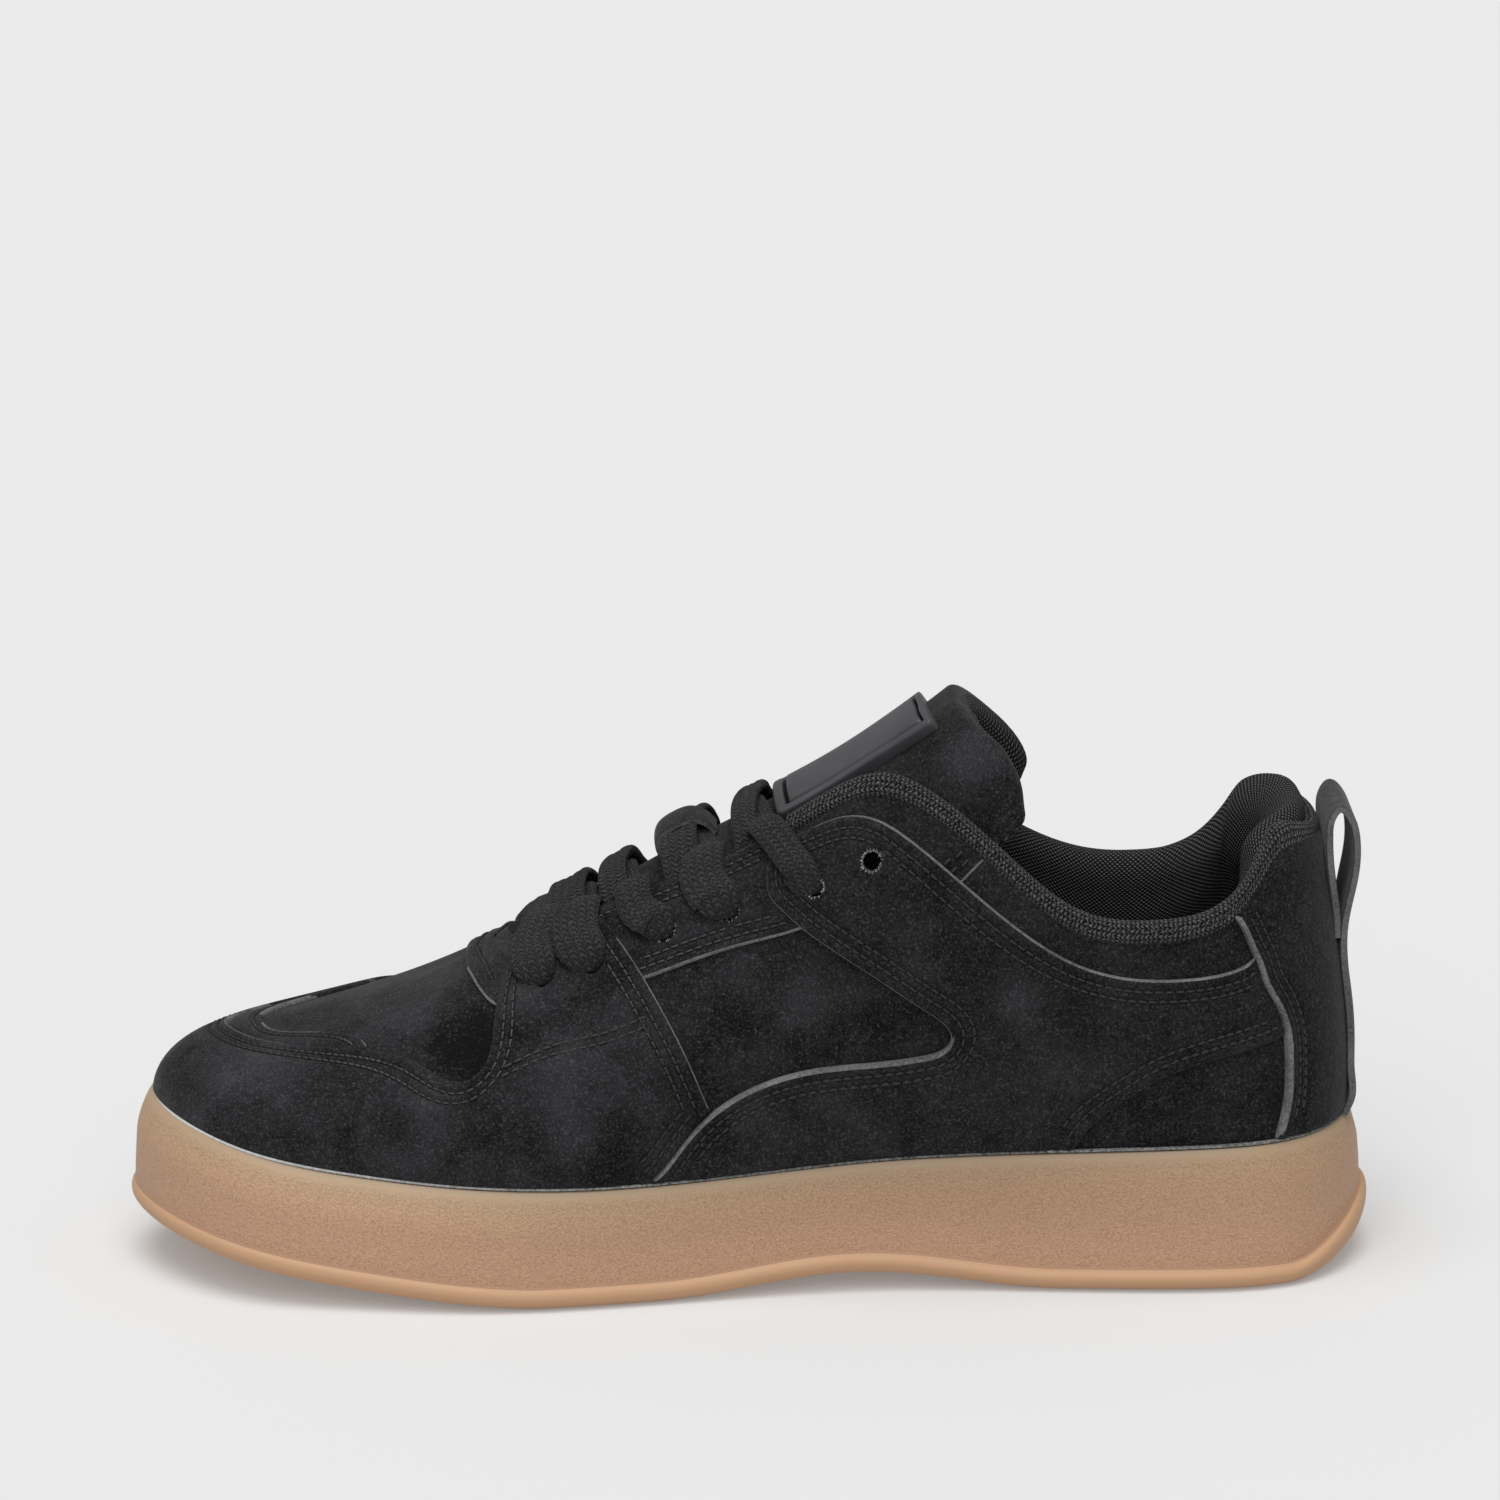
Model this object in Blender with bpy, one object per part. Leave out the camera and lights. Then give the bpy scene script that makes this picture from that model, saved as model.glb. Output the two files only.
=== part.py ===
"""A low-cut right sneaker on a moulded cup sole, built over the sections of its last.

Metres, +Z up. The toe points along -X, the heel along +X, the inner (medial) side lies along -Y.
"""

import collections
import functools
import math

import bmesh
import bpy
import numpy as np
from mathutils.geometry import delaunay_2d_cdt

for old in list(bpy.data.objects):
    bpy.data.objects.remove(old, do_unlink=True)

# Driving sizes of the last, in metres
LENGTH = 0.290
BALL_WIDTH = 0.1056
HEEL_HEIGHT = 0.1045
WALL = 0.0022
GAP = 0.0003

# Cup sole: heights in metres, starts and ends as shares of LENGTH from the heel's back
TOE_SPRING = 0.0128
SPRING_START = 0.67
SPRING_POWER = 1.35
ARCH_LIFT = 0.0040
ARCH_START = 0.25
ARCH_END = 0.58
HEEL_BEVEL = 0.0062
BEVEL_START = 0.065
LIP_HEIGHT = 0.0052
LIP_HEEL_RISE = 0.0058
LIP_STEP_HEEL = 0.0030
LIP_STEP_TOE = 0.0012
CUP_DEPTH = 0.0115
UPPER_INSET = 0.0070
INSOLE_THICK = 0.0045

# Overlays, edges and holes
OVERLAY_LIFT = 0.0006
OVERLAY_THICK = 0.0013
QUARTER_THICK = 0.0016
INLAY_THICK = 0.0008
TAB_THICK = 0.0010
EYELET_RADIUS = 0.0025
COLLAR_END = 9.6
TAPE_RADIUS = 0.0027
TAPE_REACH = 0.0024

# Tongue patch and keeper
PATCH_ALONG = (0.632, 0.885)
PATCH_HALF_WIDTH = 0.0149
PATCH_THICK = 0.0022
KEEPER_HALF_WIDTH = 0.0052
KEEPER_THICK = 0.0013

# Heel strap and laces
STRAP_WIDTH = 0.024
STRAP_THICK = 0.0015
LACE_WIDTH = 0.0070
LACE_THICK = 0.0016
LACE_START = 0.80
LACE_OVERLAP = 0.0009

# Mesh density
AROUND = 60
SOLE_SPACING = 0.014
INSOLE_SPACING = 0.020
PIN_SIDES = 8
TAPE_SIDES = 6
OVERLAY_STEP = 0.0065
COUNTER_STEP = 0.0050
SHELL_SHARES = (0.0, 0.08, 0.18, 0.30, 0.44, 0.58, 0.72, 0.86, 1.0)

Section = collections.namedtuple(
    "Section",
    "name foot_along foot_medial foot_lateral top_along top_medial top_lateral top_up lateral_down"
    " low_up low_out top_out top_down",
)
# One row for each section of the last, heel to toe. Along: percent of LENGTH from the heel's back.
# Medial and lateral: percent of half the ball width. Up, down and out: percent of HEEL_HEIGHT.
SECTIONS = [
    Section(*row)
    for row in (
        ("heel_back", 0.0, 0.0, 0.0, 4.1, 0.0, 0.0, 99.0, 0.0, 26.4, 1.4, 3.3, 23.6),
        ("heel_turn", 2.8, 48.3, 48.3, 6.0, 31.2, 31.2, 99.5, 0.3, 26.4, 1.7, 3.8, 22.6),
        ("heel_corner", 6.6, 66.3, 66.3, 8.6, 46.4, 46.4, 98.1, 0.8, 25.5, 2.1, 4.2, 20.8),
        ("collar_drop", 10.3, 73.1, 73.5, 10.7, 54.0, 54.0, 90.6, 1.2, 22.6, 2.4, 4.2, 17.9),
        ("collar_back", 14.5, 75.4, 76.5, 13.8, 60.2, 60.2, 84.0, 1.7, 20.8, 2.6, 3.8, 16.0),
        ("collar_low", 19.3, 75.4, 78.6, 18.6, 64.4, 65.3, 82.1, 3.1, 19.8, 2.8, 3.8, 16.0),
        ("collar_rise", 26.9, 73.5, 81.4, 25.5, 66.3, 68.2, 87.7, 6.4, 21.7, 3.3, 4.2, 17.9),
        ("ankle", 33.8, 72.0, 83.3, 32.4, 64.0, 66.3, 105.2, 9.8, 26.4, 4.2, 5.7, 24.5),
        ("eyestay_top", 39.3, 72.3, 85.2, 38.3, 57.8, 60.6, 115.6, 9.0, 29.2, 4.7, 7.5, 28.3),
        ("eyelet_six", 44.8, 75.4, 88.1, 42.8, 51.1, 54.0, 113.2, 8.0, 28.3, 4.2, 9.4, 25.5),
        ("eyelet_five", 51.0, 81.4, 92.8, 47.6, 43.6, 45.5, 104.2, 6.7, 26.4, 3.8, 11.8, 20.8),
        ("eyelet_four", 57.6, 89.0, 97.5, 53.8, 37.9, 37.9, 94.3, 4.8, 23.6, 3.3, 13.2, 16.0),
        ("eyelet_two", 64.8, 96.6, 100.0, 60.0, 35.0, 32.2, 86.3, 3.4, 20.8, 2.8, 14.6, 12.3),
        ("eyelet_one", 72.4, 99.6, 97.5, 65.5, 30.3, 24.6, 79.7, 2.4, 18.9, 2.4, 17.0, 10.8),
        ("ball_front", 81.4, 94.7, 87.1, 68.3, 23.7, 15.2, 75.9, 1.6, 18.6, 1.4, 22.6, 14.6),
        ("toe_side", 89.3, 85.2, 70.1, 69.1, 16.1, 5.7, 74.8, 1.0, 19.5, 0.5, 28.3, 20.0),
        ("toe_turn", 96.2, 56.8, 40.7, 69.5, 9.5, -0.9, 74.3, 0.5, 20.4, -0.5, 31.1, 23.8),
        ("toe_tip", 100.0, 9.5, -9.5, 69.6, 4.7, -4.7, 74.2, 0.0, 21.0, -0.9, 31.1, 25.0),
    )
]
LAST = len(SECTIONS) - 1

Rim = collections.namedtuple("Rim", "along height")
# Height of the cup's rim: percent of LENGTH from the heel, percent of HEEL_HEIGHT
RIM = [
    Rim(*row)
    for row in (
        (0.0, 32.8),
        (9.0, 32.3),
        (20.0, 31.4),
        (40.0, 28.8),
        (58.0, 26.0),
        (72.0, 27.2),
        (85.0, 30.6),
        (94.0, 34.8),
        (100.0, 38.4),
    )
]

SoleRing = collections.namedtuple("SoleRing", "name inset step lip wall lift")
# Profile of the cup's outside, floor to rim. Inset: metres inward. Step: more inward, in lip steps.
# Lip: share of the way from floor to step. Wall: share of the way from step to rim. Lift: metres up.
SOLE_RINGS = [
    SoleRing(*row)
    for row in (
        ("contact", 0.0050, 0.0, 0.00, 0.0, 0.0),
        ("lip_low", 0.0018, 0.0, 0.12, 0.0, 0.0),
        ("lip_side", 0.0004, 0.0, 0.36, 0.0, 0.0),
        ("lip_widest", 0.0, 0.0, 0.62, 0.0, 0.0),
        ("lip_round", 0.0, 0.3, 0.90, 0.0, 0.0),
        ("step", 0.0, 1.0, 1.0, 0.0, 0.0),
        ("wall_foot", 0.0004, 1.0, 1.0, 0.0, 0.0020),
        ("wall_middle", 0.0009, 1.0, 1.0, 0.45, 0.0),
        ("wall_head", 0.0028, 0.25, 1.0, 1.0, -0.0035),
        ("rim_round", 0.0040, 0.0, 1.0, 1.0, -0.0010),
        ("rim_edge", 0.0047, 0.0, 1.0, 1.0, 0.0),
    )
]

Eyelet = collections.namedtuple("Eyelet", "station share")
# Eyelets from the toe up, on the medial side: section number, share of the way up
EYELETS = [
    Eyelet(*row)
    for row in (
        (12.71, 0.735),
        (12.11, 0.740),
        (11.27, 0.785),
        (10.47, 0.780),
        (9.25, 0.755),
        (8.35, 0.795),
    )
]

Pad = collections.namedtuple("Pad", "depth puff height lift")
# Cross-section of the padded lining: metres behind the outer face, more where it is puffed,
# metres above the opening edge, more where it is puffed
PAD = [
    Pad(*row)
    for row in (
        (0.0026, 0.0, -0.0045, 0.0),
        (0.0026, 0.0, -0.034, 0.0),
        (0.0038, 0.0008, -0.0355, 0.0),
        (0.0034, 0.0056, -0.026, 0.0),
        (0.0036, 0.0082, -0.015, 0.0),
        (0.0040, 0.0078, -0.006, 0.0),
        (0.0048, 0.0052, -0.0002, 0.0016),
        (0.0044, 0.0016, 0.0008, 0.0022),
        (0.0041, 0.0, -0.0032, 0.0),
    )
]

Tongue = collections.namedtuple("Tongue", "along up aside half_width drop thick")
# Front to top. Along: percent of LENGTH. Up, drop: percent of HEEL_HEIGHT. Aside, half width: percent of
# half the ball width. Thick: metres.
TONGUE = [
    Tongue(*row)
    for row in (
        (71.7, 66.0, -5.3, 36.0, 4.0, 0.0036),
        (67.9, 73.6, -4.2, 38.0, 5.8, 0.0050),
        (64.1, 79.2, -2.8, 40.0, 8.0, 0.0058),
        (60.0, 85.6, -1.5, 42.0, 10.5, 0.0062),
        (55.2, 93.0, 0.0, 44.5, 12.6, 0.0068),
        (47.2, 103.6, 1.0, 48.0, 14.6, 0.0074),
        (40.7, 113.6, 1.3, 47.2, 15.6, 0.0078),
        (35.2, 124.6, 1.3, 51.0, 20.2, 0.0084),
        (33.6, 128.2, 1.3, 55.5, 24.0, 0.0072),
    )
]

Pull = collections.namedtuple("Pull", "along up")
# Free part of the heel strap, from where it leaves the heel to its tucked end:
# percent of LENGTH and of HEEL_HEIGHT
PULL = [
    Pull(*row)
    for row in (
        (1.15, 79.0),
        (1.2, 87.0),
        (1.35, 95.0),
        (1.6, 101.0),
        (2.15, 105.0),
        (2.85, 104.0),
        (2.95, 98.5),
        (2.25, 91.5),
        (1.95, 85.5),
        (1.87, 81.0),
    )
]

Lace = collections.namedtuple("Lace", "name lean rise")
# Laces from the toe up. Lean: eyelet rows toward the toe at the throat's edge. Rise: metres over the tongue.
LACES = [
    Lace(*row)
    for row in (
        ("lace_bar", 0.56, 0.0042),
        ("lace_cross_2", 0.54, 0.0042),
        ("lace_cross_3", 0.64, 0.0042),
        ("lace_cross_4", 0.47, 0.0027),
        ("lace_cross_5", 0.72, 0.0042),
    )
]

Keeper = collections.namedtuple("Keeper", "x rise")
# Arch of the lace keeper along the tongue: metres along the shoe, metres over the tongue
KEEPER = [
    Keeper(*row)
    for row in (
        (-0.0222, 0.0003),
        (-0.0214, 0.0042),
        (-0.0200, 0.0068),
        (-0.0150, 0.0076),
        (-0.0086, 0.0072),
        (-0.0066, 0.0050),
        (-0.0052, 0.0003),
    )
]


def spline_slopes(knots, values, period=None):
    """Second derivatives of the cubic through the values, closed when a period is given."""
    count = len(knots)
    matrix = np.zeros((count, count))
    right = np.zeros((count,) + values.shape[1:])
    for row in range(count):
        if period is None and row in (0, count - 1):
            matrix[row, row] = 1.0
            continue
        before = knots[row] - knots[row - 1] if row else knots[0] - knots[-1] + period
        after = knots[row + 1] - knots[row] if row < count - 1 else knots[0] - knots[-1] + period
        following = (row + 1) % count
        matrix[row, row - 1] += before
        matrix[row, row] += 2 * (before + after)
        matrix[row, following] += after
        climb = (values[following] - values[row]) / after
        right[row] = 6 * (climb - (values[row] - values[row - 1]) / before)
    return np.linalg.solve(matrix, right)


def spline(knots, values, period=None):
    """A function of position: the smooth cubic through the rows of values."""
    knots = np.asarray(knots, float)
    values = np.asarray(values, float).reshape(len(knots), -1)
    bends = spline_slopes(knots, values, period)
    if period is not None:
        knots = np.append(knots, knots[0] + period)
        values = np.vstack([values, values[:1]])
        bends = np.vstack([bends, bends[:1]])

    def at(where):
        where = np.atleast_1d(np.asarray(where, float))
        where = where % period if period is not None else np.clip(where, knots[0], knots[-1])
        cell = np.clip(np.searchsorted(knots, where, side="right") - 1, 0, len(knots) - 2)
        width = (knots[cell + 1] - knots[cell])[:, None]
        share = (where - knots[cell])[:, None] / width
        rest = 1 - share
        bend = (rest**3 - rest) * bends[cell] + (share**3 - share) * bends[cell + 1]
        return rest * values[cell] + share * values[cell + 1] + bend * width**2 / 6

    return at


def loop_rows():
    """Foot, top and handle columns in metres, once round the shoe: medial to the toe, lateral back."""
    half = BALL_WIDTH / 200
    rows = []
    for side, order in ((-1, range(LAST + 1)), (1, range(LAST - 1, 0, -1))):
        for index in order:
            row = SECTIONS[index]
            foot = row.foot_medial if side < 0 else row.foot_lateral
            top = row.top_medial if side < 0 else row.top_lateral
            up = row.top_up if side < 0 else row.top_up - row.lateral_down
            rows.append(
                (
                    LENGTH * (0.5 - row.foot_along / 100),
                    side * foot * half,
                    LENGTH * (0.5 - row.top_along / 100),
                    side * top * half,
                    up * HEEL_HEIGHT / 100,
                    row.low_up * HEEL_HEIGHT / 100,
                    row.low_out * HEEL_HEIGHT / 100,
                    row.top_out * HEEL_HEIGHT / 100,
                    row.top_down * HEEL_HEIGHT / 100,
                )
            )
    return np.array(rows)


ROWS = loop_rows()
STEPS = np.linalg.norm(np.roll(ROWS[:, :2], -1, axis=0) - ROWS[:, :2], axis=1)
GIRTH = STEPS.sum()
PLACES = np.append(0.0, np.cumsum(STEPS))
LOOP = spline(PLACES[:-1], ROWS, GIRTH)
RIM_LINE = spline([row.along for row in RIM], [row.height for row in RIM])


def place(station):
    """Distance round the outline of a section number, 0 at the heel, LAST at the toe, lateral beyond it."""
    station = np.asarray(station, float)
    turns = np.floor(station / (2 * LAST))
    return np.interp(station - turns * 2 * LAST, np.arange(2 * LAST + 1), PLACES) + turns * GIRTH


def outline(where, inset=0.0):
    """Plan points of the sole's outline moved inward, with the outward directions."""
    step = 0.0005
    ahead = LOOP(np.asarray(where) + step)[:, :2]
    behind = LOOP(np.asarray(where) - step)[:, :2]
    along = ahead - behind
    along /= np.linalg.norm(along, axis=1)[:, None]
    out = np.stack([-along[:, 1], along[:, 0]], axis=1)
    return LOOP(where)[:, :2] - out * np.reshape(inset, (-1, 1)), out


def from_heel(x):
    return np.clip(0.5 - np.asarray(x) / LENGTH, 0.0, 1.0)


def ground(x):
    """Height of the sole's underside: heel bevel, arch and toe spring, flat at heel and ball."""
    share = from_heel(x)
    spring = np.clip((share - SPRING_START) / (1 - SPRING_START), 0, 1) ** SPRING_POWER
    arch = np.clip((share - ARCH_START) / (ARCH_END - ARCH_START), 0, 1)
    bevel = np.clip(1 - share / BEVEL_START, 0, 1) ** 1.5
    return TOE_SPRING * spring + ARCH_LIFT * np.sin(math.pi * arch) ** 2 + HEEL_BEVEL * bevel


def rim(x):
    return RIM_LINE(100 * from_heel(x))[:, 0] * HEEL_HEIGHT / 100


def handles(where):
    """The four handles of the section curve that rises from the rim to the opening."""
    rows = LOOP(where)
    plan, out = outline(where, UPPER_INSET)
    foot = np.column_stack([plan, rim(plan[:, 0])])
    top = rows[:, 2:5]
    toward = foot[:, :2] - top[:, :2] + 0.010 * out
    toward /= np.linalg.norm(toward, axis=1)[:, None]
    low = foot + np.column_stack([out * rows[:, 6:7], rows[:, 5]])
    high = top + np.column_stack([toward * rows[:, 7:8], -rows[:, 8]])
    return foot, low, high, top


def surface(where, share):
    """Points of the upper's outer face: place round the shoe, share of the way up its section."""
    where = np.atleast_1d(np.asarray(where, float))
    share = np.broadcast_to(np.asarray(share, float), where.shape)[:, None]
    foot, low, high, top = handles(where)
    rest = 1 - share
    return rest**3 * foot + 3 * rest**2 * share * low + 3 * rest * share**2 * high + share**3 * top


def skin(where, share, lift=0.0):
    """Points of the upper's face lifted along its outward normal."""
    where = np.atleast_1d(np.asarray(where, float))
    share = np.broadcast_to(np.asarray(share, float), where.shape)
    round_step = 0.0008
    up_step = 0.008
    across = surface(where + round_step, share) - surface(where - round_step, share)
    upward = surface(where, share + up_step) - surface(where, share - up_step)
    normal = np.cross(upward, across)
    normal /= np.linalg.norm(normal, axis=1)[:, None]
    return surface(where, share) + normal * np.reshape(lift, (-1, 1))


def rise(where):
    """Length of the section curve from rim to opening."""
    shares = np.linspace(0, 1, 25)
    points = np.stack([surface(where, share) for share in shares])
    return np.linalg.norm(np.diff(points, axis=0), axis=2).sum(axis=0)


MATERIALS = {
    "rubber_tan": ((0.50, 0.29, 0.16), 0.6),
    "nubuck": ((0.018, 0.018, 0.020), 0.9),
    "mesh_lining": ((0.012, 0.012, 0.013), 0.95),
    "knit_tape": ((0.020, 0.020, 0.022), 0.9),
    "lace_weave": ((0.030, 0.030, 0.033), 0.85),
    "footbed": ((0.020, 0.020, 0.022), 0.9),
    "patch_rubber": ((0.015, 0.015, 0.016), 0.55),
}


def material(name):
    found = bpy.data.materials.get(name)
    if found:
        return found
    colour, rough = MATERIALS[name]
    made = bpy.data.materials.new(name)
    made.use_nodes = True
    shader = made.node_tree.nodes["Principled BSDF"]
    shader.inputs["Base Color"].default_value = (*colour, 1.0)
    shader.inputs["Roughness"].default_value = rough
    shader.inputs["Metallic"].default_value = 0.0
    return made


def solid(name, points, faces, slot):
    """A closed mesh object with its faces turned outward."""
    mesh = bpy.data.meshes.new(name)
    mesh.from_pydata([tuple(point) for point in points], [], faces)
    bm = bmesh.new()
    bm.from_mesh(mesh)
    bmesh.ops.triangulate(bm, faces=bm.faces[:])
    bmesh.ops.recalc_face_normals(bm, faces=bm.faces[:])
    bm.to_mesh(mesh)
    bm.free()
    mesh.materials.append(material(slot))
    made = bpy.data.objects.new(name, mesh)
    bpy.context.scene.collection.objects.link(made)
    return made


def bridge(rings, closed_rings=True, wrap=False):
    """Quads between rings of equal point counts, numbered ring after ring."""
    count = len(rings[0])
    faces = []
    last = len(rings) if wrap else len(rings) - 1
    for ring in range(last):
        low = ring * count
        high = (ring + 1) % len(rings) * count
        for spot in range(count if closed_rings else count - 1):
            after = (spot + 1) % count
            faces.append((low + spot, low + after, high + after, high + spot))
    return faces


def end_faces(points, count):
    """The first and the last section of a run of sections, as faces."""
    return [tuple(range(count)), tuple(range(len(points) - count, len(points)))]


def fill(border, spacing, holes=()):
    """Triangles inside a flat loop, round its holes: added inner points, faces over border, holes, added."""
    border = np.asarray(border)
    low = border.min(axis=0)
    high = border.max(axis=0)
    grid = [
        (x, y)
        for x in np.arange(low[0] + spacing / 2, high[0], spacing)
        for y in np.arange(low[1] + spacing / 2, high[1], spacing)
    ]
    inner = [spot for spot in grid if inside(spot, border) and clear(spot, border, 0.45 * spacing)]
    for hole in holes:
        inner = [spot for spot in inner if not inside(spot, hole) and clear(spot, hole, 0.4 * spacing)]
    spots = [tuple(spot) for spot in np.vstack([border, *holes])] + inner
    edges = []
    base = len(border)
    for hole in holes:
        edges += [(base + spot, base + (spot + 1) % len(hole)) for spot in range(len(hole))]
        base += len(hole)
    cells = delaunay_2d_cdt(spots, edges, [tuple(range(len(border)))], 1, 1e-7)[2]
    spots = np.array(spots)
    kept = [
        tuple(cell)
        for cell in cells
        if not any(inside(spots[list(cell)].mean(axis=0), hole) for hole in holes)
    ]
    return np.array(inner).reshape(-1, 2), kept


def inside(spot, border):
    x, y = spot
    ahead = np.roll(border, -1, axis=0)
    crossing = (border[:, 1] > y) != (ahead[:, 1] > y)
    with np.errstate(divide="ignore", invalid="ignore"):
        at = border[:, 0] + (y - border[:, 1]) * (ahead[:, 0] - border[:, 0]) / (ahead[:, 1] - border[:, 1])
    return bool(np.count_nonzero(crossing & (x < at)) % 2)


def clear(spot, border, distance):
    """True when the spot is farther than distance from every edge of the border."""
    start = border
    run = np.roll(border, -1, axis=0) - border
    share = np.clip(((spot - start) * run).sum(axis=1) / (run**2).sum(axis=1), 0, 1)
    return np.linalg.norm(start + run * share[:, None] - spot, axis=1).min() > distance


def ring_places():
    return np.arange(AROUND) * GIRTH / AROUND


def ring_at(inset, height):
    """A loop of the sole: plan outline moved inward, with a height for each point's X."""
    plan, _ = outline(ring_places(), inset)
    return np.column_stack([plan, height(plan[:, 0])])


def lip_top(x):
    """Height of the step on the sole's side, higher round the back of the heel."""
    bevel = np.clip(1 - from_heel(x) / BEVEL_START, 0, 1) ** 1.5
    return ground(x) + LIP_HEIGHT + LIP_HEEL_RISE * bevel


def cup_floor(x):
    return rim(x) - CUP_DEPTH


def sole_height(row, x):
    """Height of a row of the cup's profile."""
    lip = row.lip * (lip_top(x) - ground(x))
    wall = row.wall * (rim(x) - lip_top(x))
    return ground(x) + lip + wall + row.lift


def build_cupsole():
    """Contact face, rounded lip, step, side wall, rim and the cup inside it."""
    share = from_heel(outline(ring_places())[0][:, 0])
    step = LIP_STEP_HEEL + (LIP_STEP_TOE - LIP_STEP_HEEL) * share
    rings = [ring_at(row.inset + row.step * step, functools.partial(sole_height, row)) for row in SOLE_RINGS]
    rings.append(ring_at(UPPER_INSET - GAP, rim))
    rings.append(ring_at(UPPER_INSET - GAP, cup_floor))
    points = np.vstack(rings)
    faces = bridge(rings)
    for ring, height in ((0, ground), (len(rings) - 1, cup_floor)):
        added, cells = fill(rings[ring][:, :2], SOLE_SPACING)
        base = len(points)
        points = np.vstack([points, np.column_stack([added, height(added[:, 0])])])
        faces += [
            tuple(ring * AROUND + spot if spot < AROUND else base + spot - AROUND for spot in cell)
            for cell in cells
        ]
    return solid("cupsole", points, faces, "rubber_tan")


def build_insole():
    """Footbed plate between the lower edges of the upper."""
    inset = UPPER_INSET + WALL + 2 * GAP
    low = ring_at(inset, lambda x: cup_floor(x) + GAP)
    high = ring_at(inset + 0.0006, lambda x: cup_floor(x) + GAP + INSOLE_THICK)
    points = np.vstack([low, high])
    faces = bridge([low, high])
    for ring, lift in ((0, 0.0), (1, INSOLE_THICK)):
        border = (low, high)[ring]
        added, cells = fill(border[:, :2], INSOLE_SPACING)
        base = len(points)
        height = cup_floor(added[:, 0]) + GAP + lift
        points = np.vstack([points, np.column_stack([added, height])])
        faces += [
            tuple(ring * AROUND + spot if spot < AROUND else base + spot - AROUND for spot in cell)
            for cell in cells
        ]
    return solid("insole", points, faces, "footbed")


def collar_share(where):
    """1 round the collar, 0 along the throat, with a short change beside the top eyelet."""
    station = np.interp(np.asarray(where) % GIRTH, PLACES, np.arange(2 * LAST + 1))
    station = np.minimum(station, 2 * LAST - station)
    return np.clip(2 * (10.2 - station), 0, 1)


def edge_share(where):
    """Share of the section at which the wall ends: lower round the collar, where the tape sits on it."""
    return 1 - collar_share(where) * (TAPE_RADIUS + 2 * GAP) / rise(where)


def build_upper():
    """The hollow shell: outer face, opening edge, inner face and lower edge as rings round the shoe."""
    where = ring_places()
    ends = edge_share(where)
    plan, out = outline(where, UPPER_INSET)
    foot = np.column_stack([plan, cup_floor(plan[:, 0]) + GAP])
    inner_foot = foot - np.column_stack([out * WALL, np.zeros(AROUND)])
    outer = [skin(where, share * ends) for share in SHELL_SHARES]
    inner = [skin(where, share * ends, -WALL) for share in SHELL_SHARES]
    rings = [foot, *outer, *reversed(inner), inner_foot]
    upper = solid("upper", np.vstack(rings), bridge(rings, wrap=True), "nubuck")
    for side in (-1, 1):
        for row, eyelet in enumerate(EYELETS):
            pin = build_pin(f"eyelet_pin_{row + 1}_{side}", eyelet_place(eyelet, side), eyelet.share)
            cut = upper.modifiers.new(pin.name, "BOOLEAN")
            cut.operation = "DIFFERENCE"
            cut.object = pin
    return upper


def build_pin(name, where, share):
    """A hidden cutter through the wall along its normal."""
    axis = skin(where, share, 0.004)[0] - skin(where, share, -0.006)[0]
    length = np.linalg.norm(axis)
    axis /= length
    side = np.cross(axis, (1.0, 0.0, 0.0))
    side /= np.linalg.norm(side)
    turns = np.arange(PIN_SIDES) * math.tau / PIN_SIDES
    circle = EYELET_RADIUS * (np.outer(np.cos(turns), side) + np.outer(np.sin(turns), np.cross(axis, side)))
    rings = [skin(where, share, -0.006) + circle, skin(where, share, 0.004) + circle]
    points = np.vstack(rings)
    pin = solid(name, points, bridge(rings) + end_faces(points, PIN_SIDES), "nubuck")
    pin.hide_render = True
    pin.display_type = "WIRE"
    return pin


def eyelet_place(eyelet, side):
    return place(eyelet.station if side < 0 else 2 * LAST - eyelet.station)


# Outlines of the overlays as runs of (section number, share of the way up), a corner where runs meet.
# Section numbers past LAST go on round the toe to the lateral side.
EDGE_LOW = 0.014
EDGE_HIGH = 0.975
GUARD_REAR = ((11.05, EDGE_LOW), (10.87, 0.06), (10.65, 0.133), (10.35, 0.213))
GUARD_STAY = (
    (10.35, 0.213), (10.69, 0.369), (11.04, 0.506), (11.39, 0.638), (12.02, 0.854), (12.38, EDGE_HIGH),
)
GUARD_FRONT = (
    (13.45, EDGE_HIGH), (13.37, 0.786), (13.27, 0.681), (13.13, 0.56), (13.1, 0.445), (13.2, 0.402),
    (13.4, 0.4), (13.7, 0.443), (14.17, 0.498), (14.71, 0.514), (15.68, 0.472), (16.3, 0.413),
    (16.85, 0.375), (17.4, 0.35), (17.9, 0.37), (18.5, 0.43), (19.29, 0.514), (19.83, 0.498),
    (20.3, 0.443), (20.6, 0.4), (20.8, 0.402), (20.9, 0.445), (20.87, 0.56), (20.73, 0.681),
    (20.63, 0.786), (20.55, EDGE_HIGH),
)
INLAY_INNER = (
    (14.72, 0.518), (14.93, 0.546), (15.38, 0.574), (15.97, 0.54), (16.4, 0.474), (16.9, 0.455),
    (17.4, 0.45), (17.85, 0.48), (18.3, 0.54), (18.7, 0.574), (19.07, 0.546), (19.28, 0.518),
)
INLAY_OUTER = (
    (19.2, 0.516), (18.5, 0.44), (17.9, 0.38), (17.4, 0.36), (16.85, 0.385), (16.3, 0.423),
    (15.68, 0.482), (14.8, 0.52),
)
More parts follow.
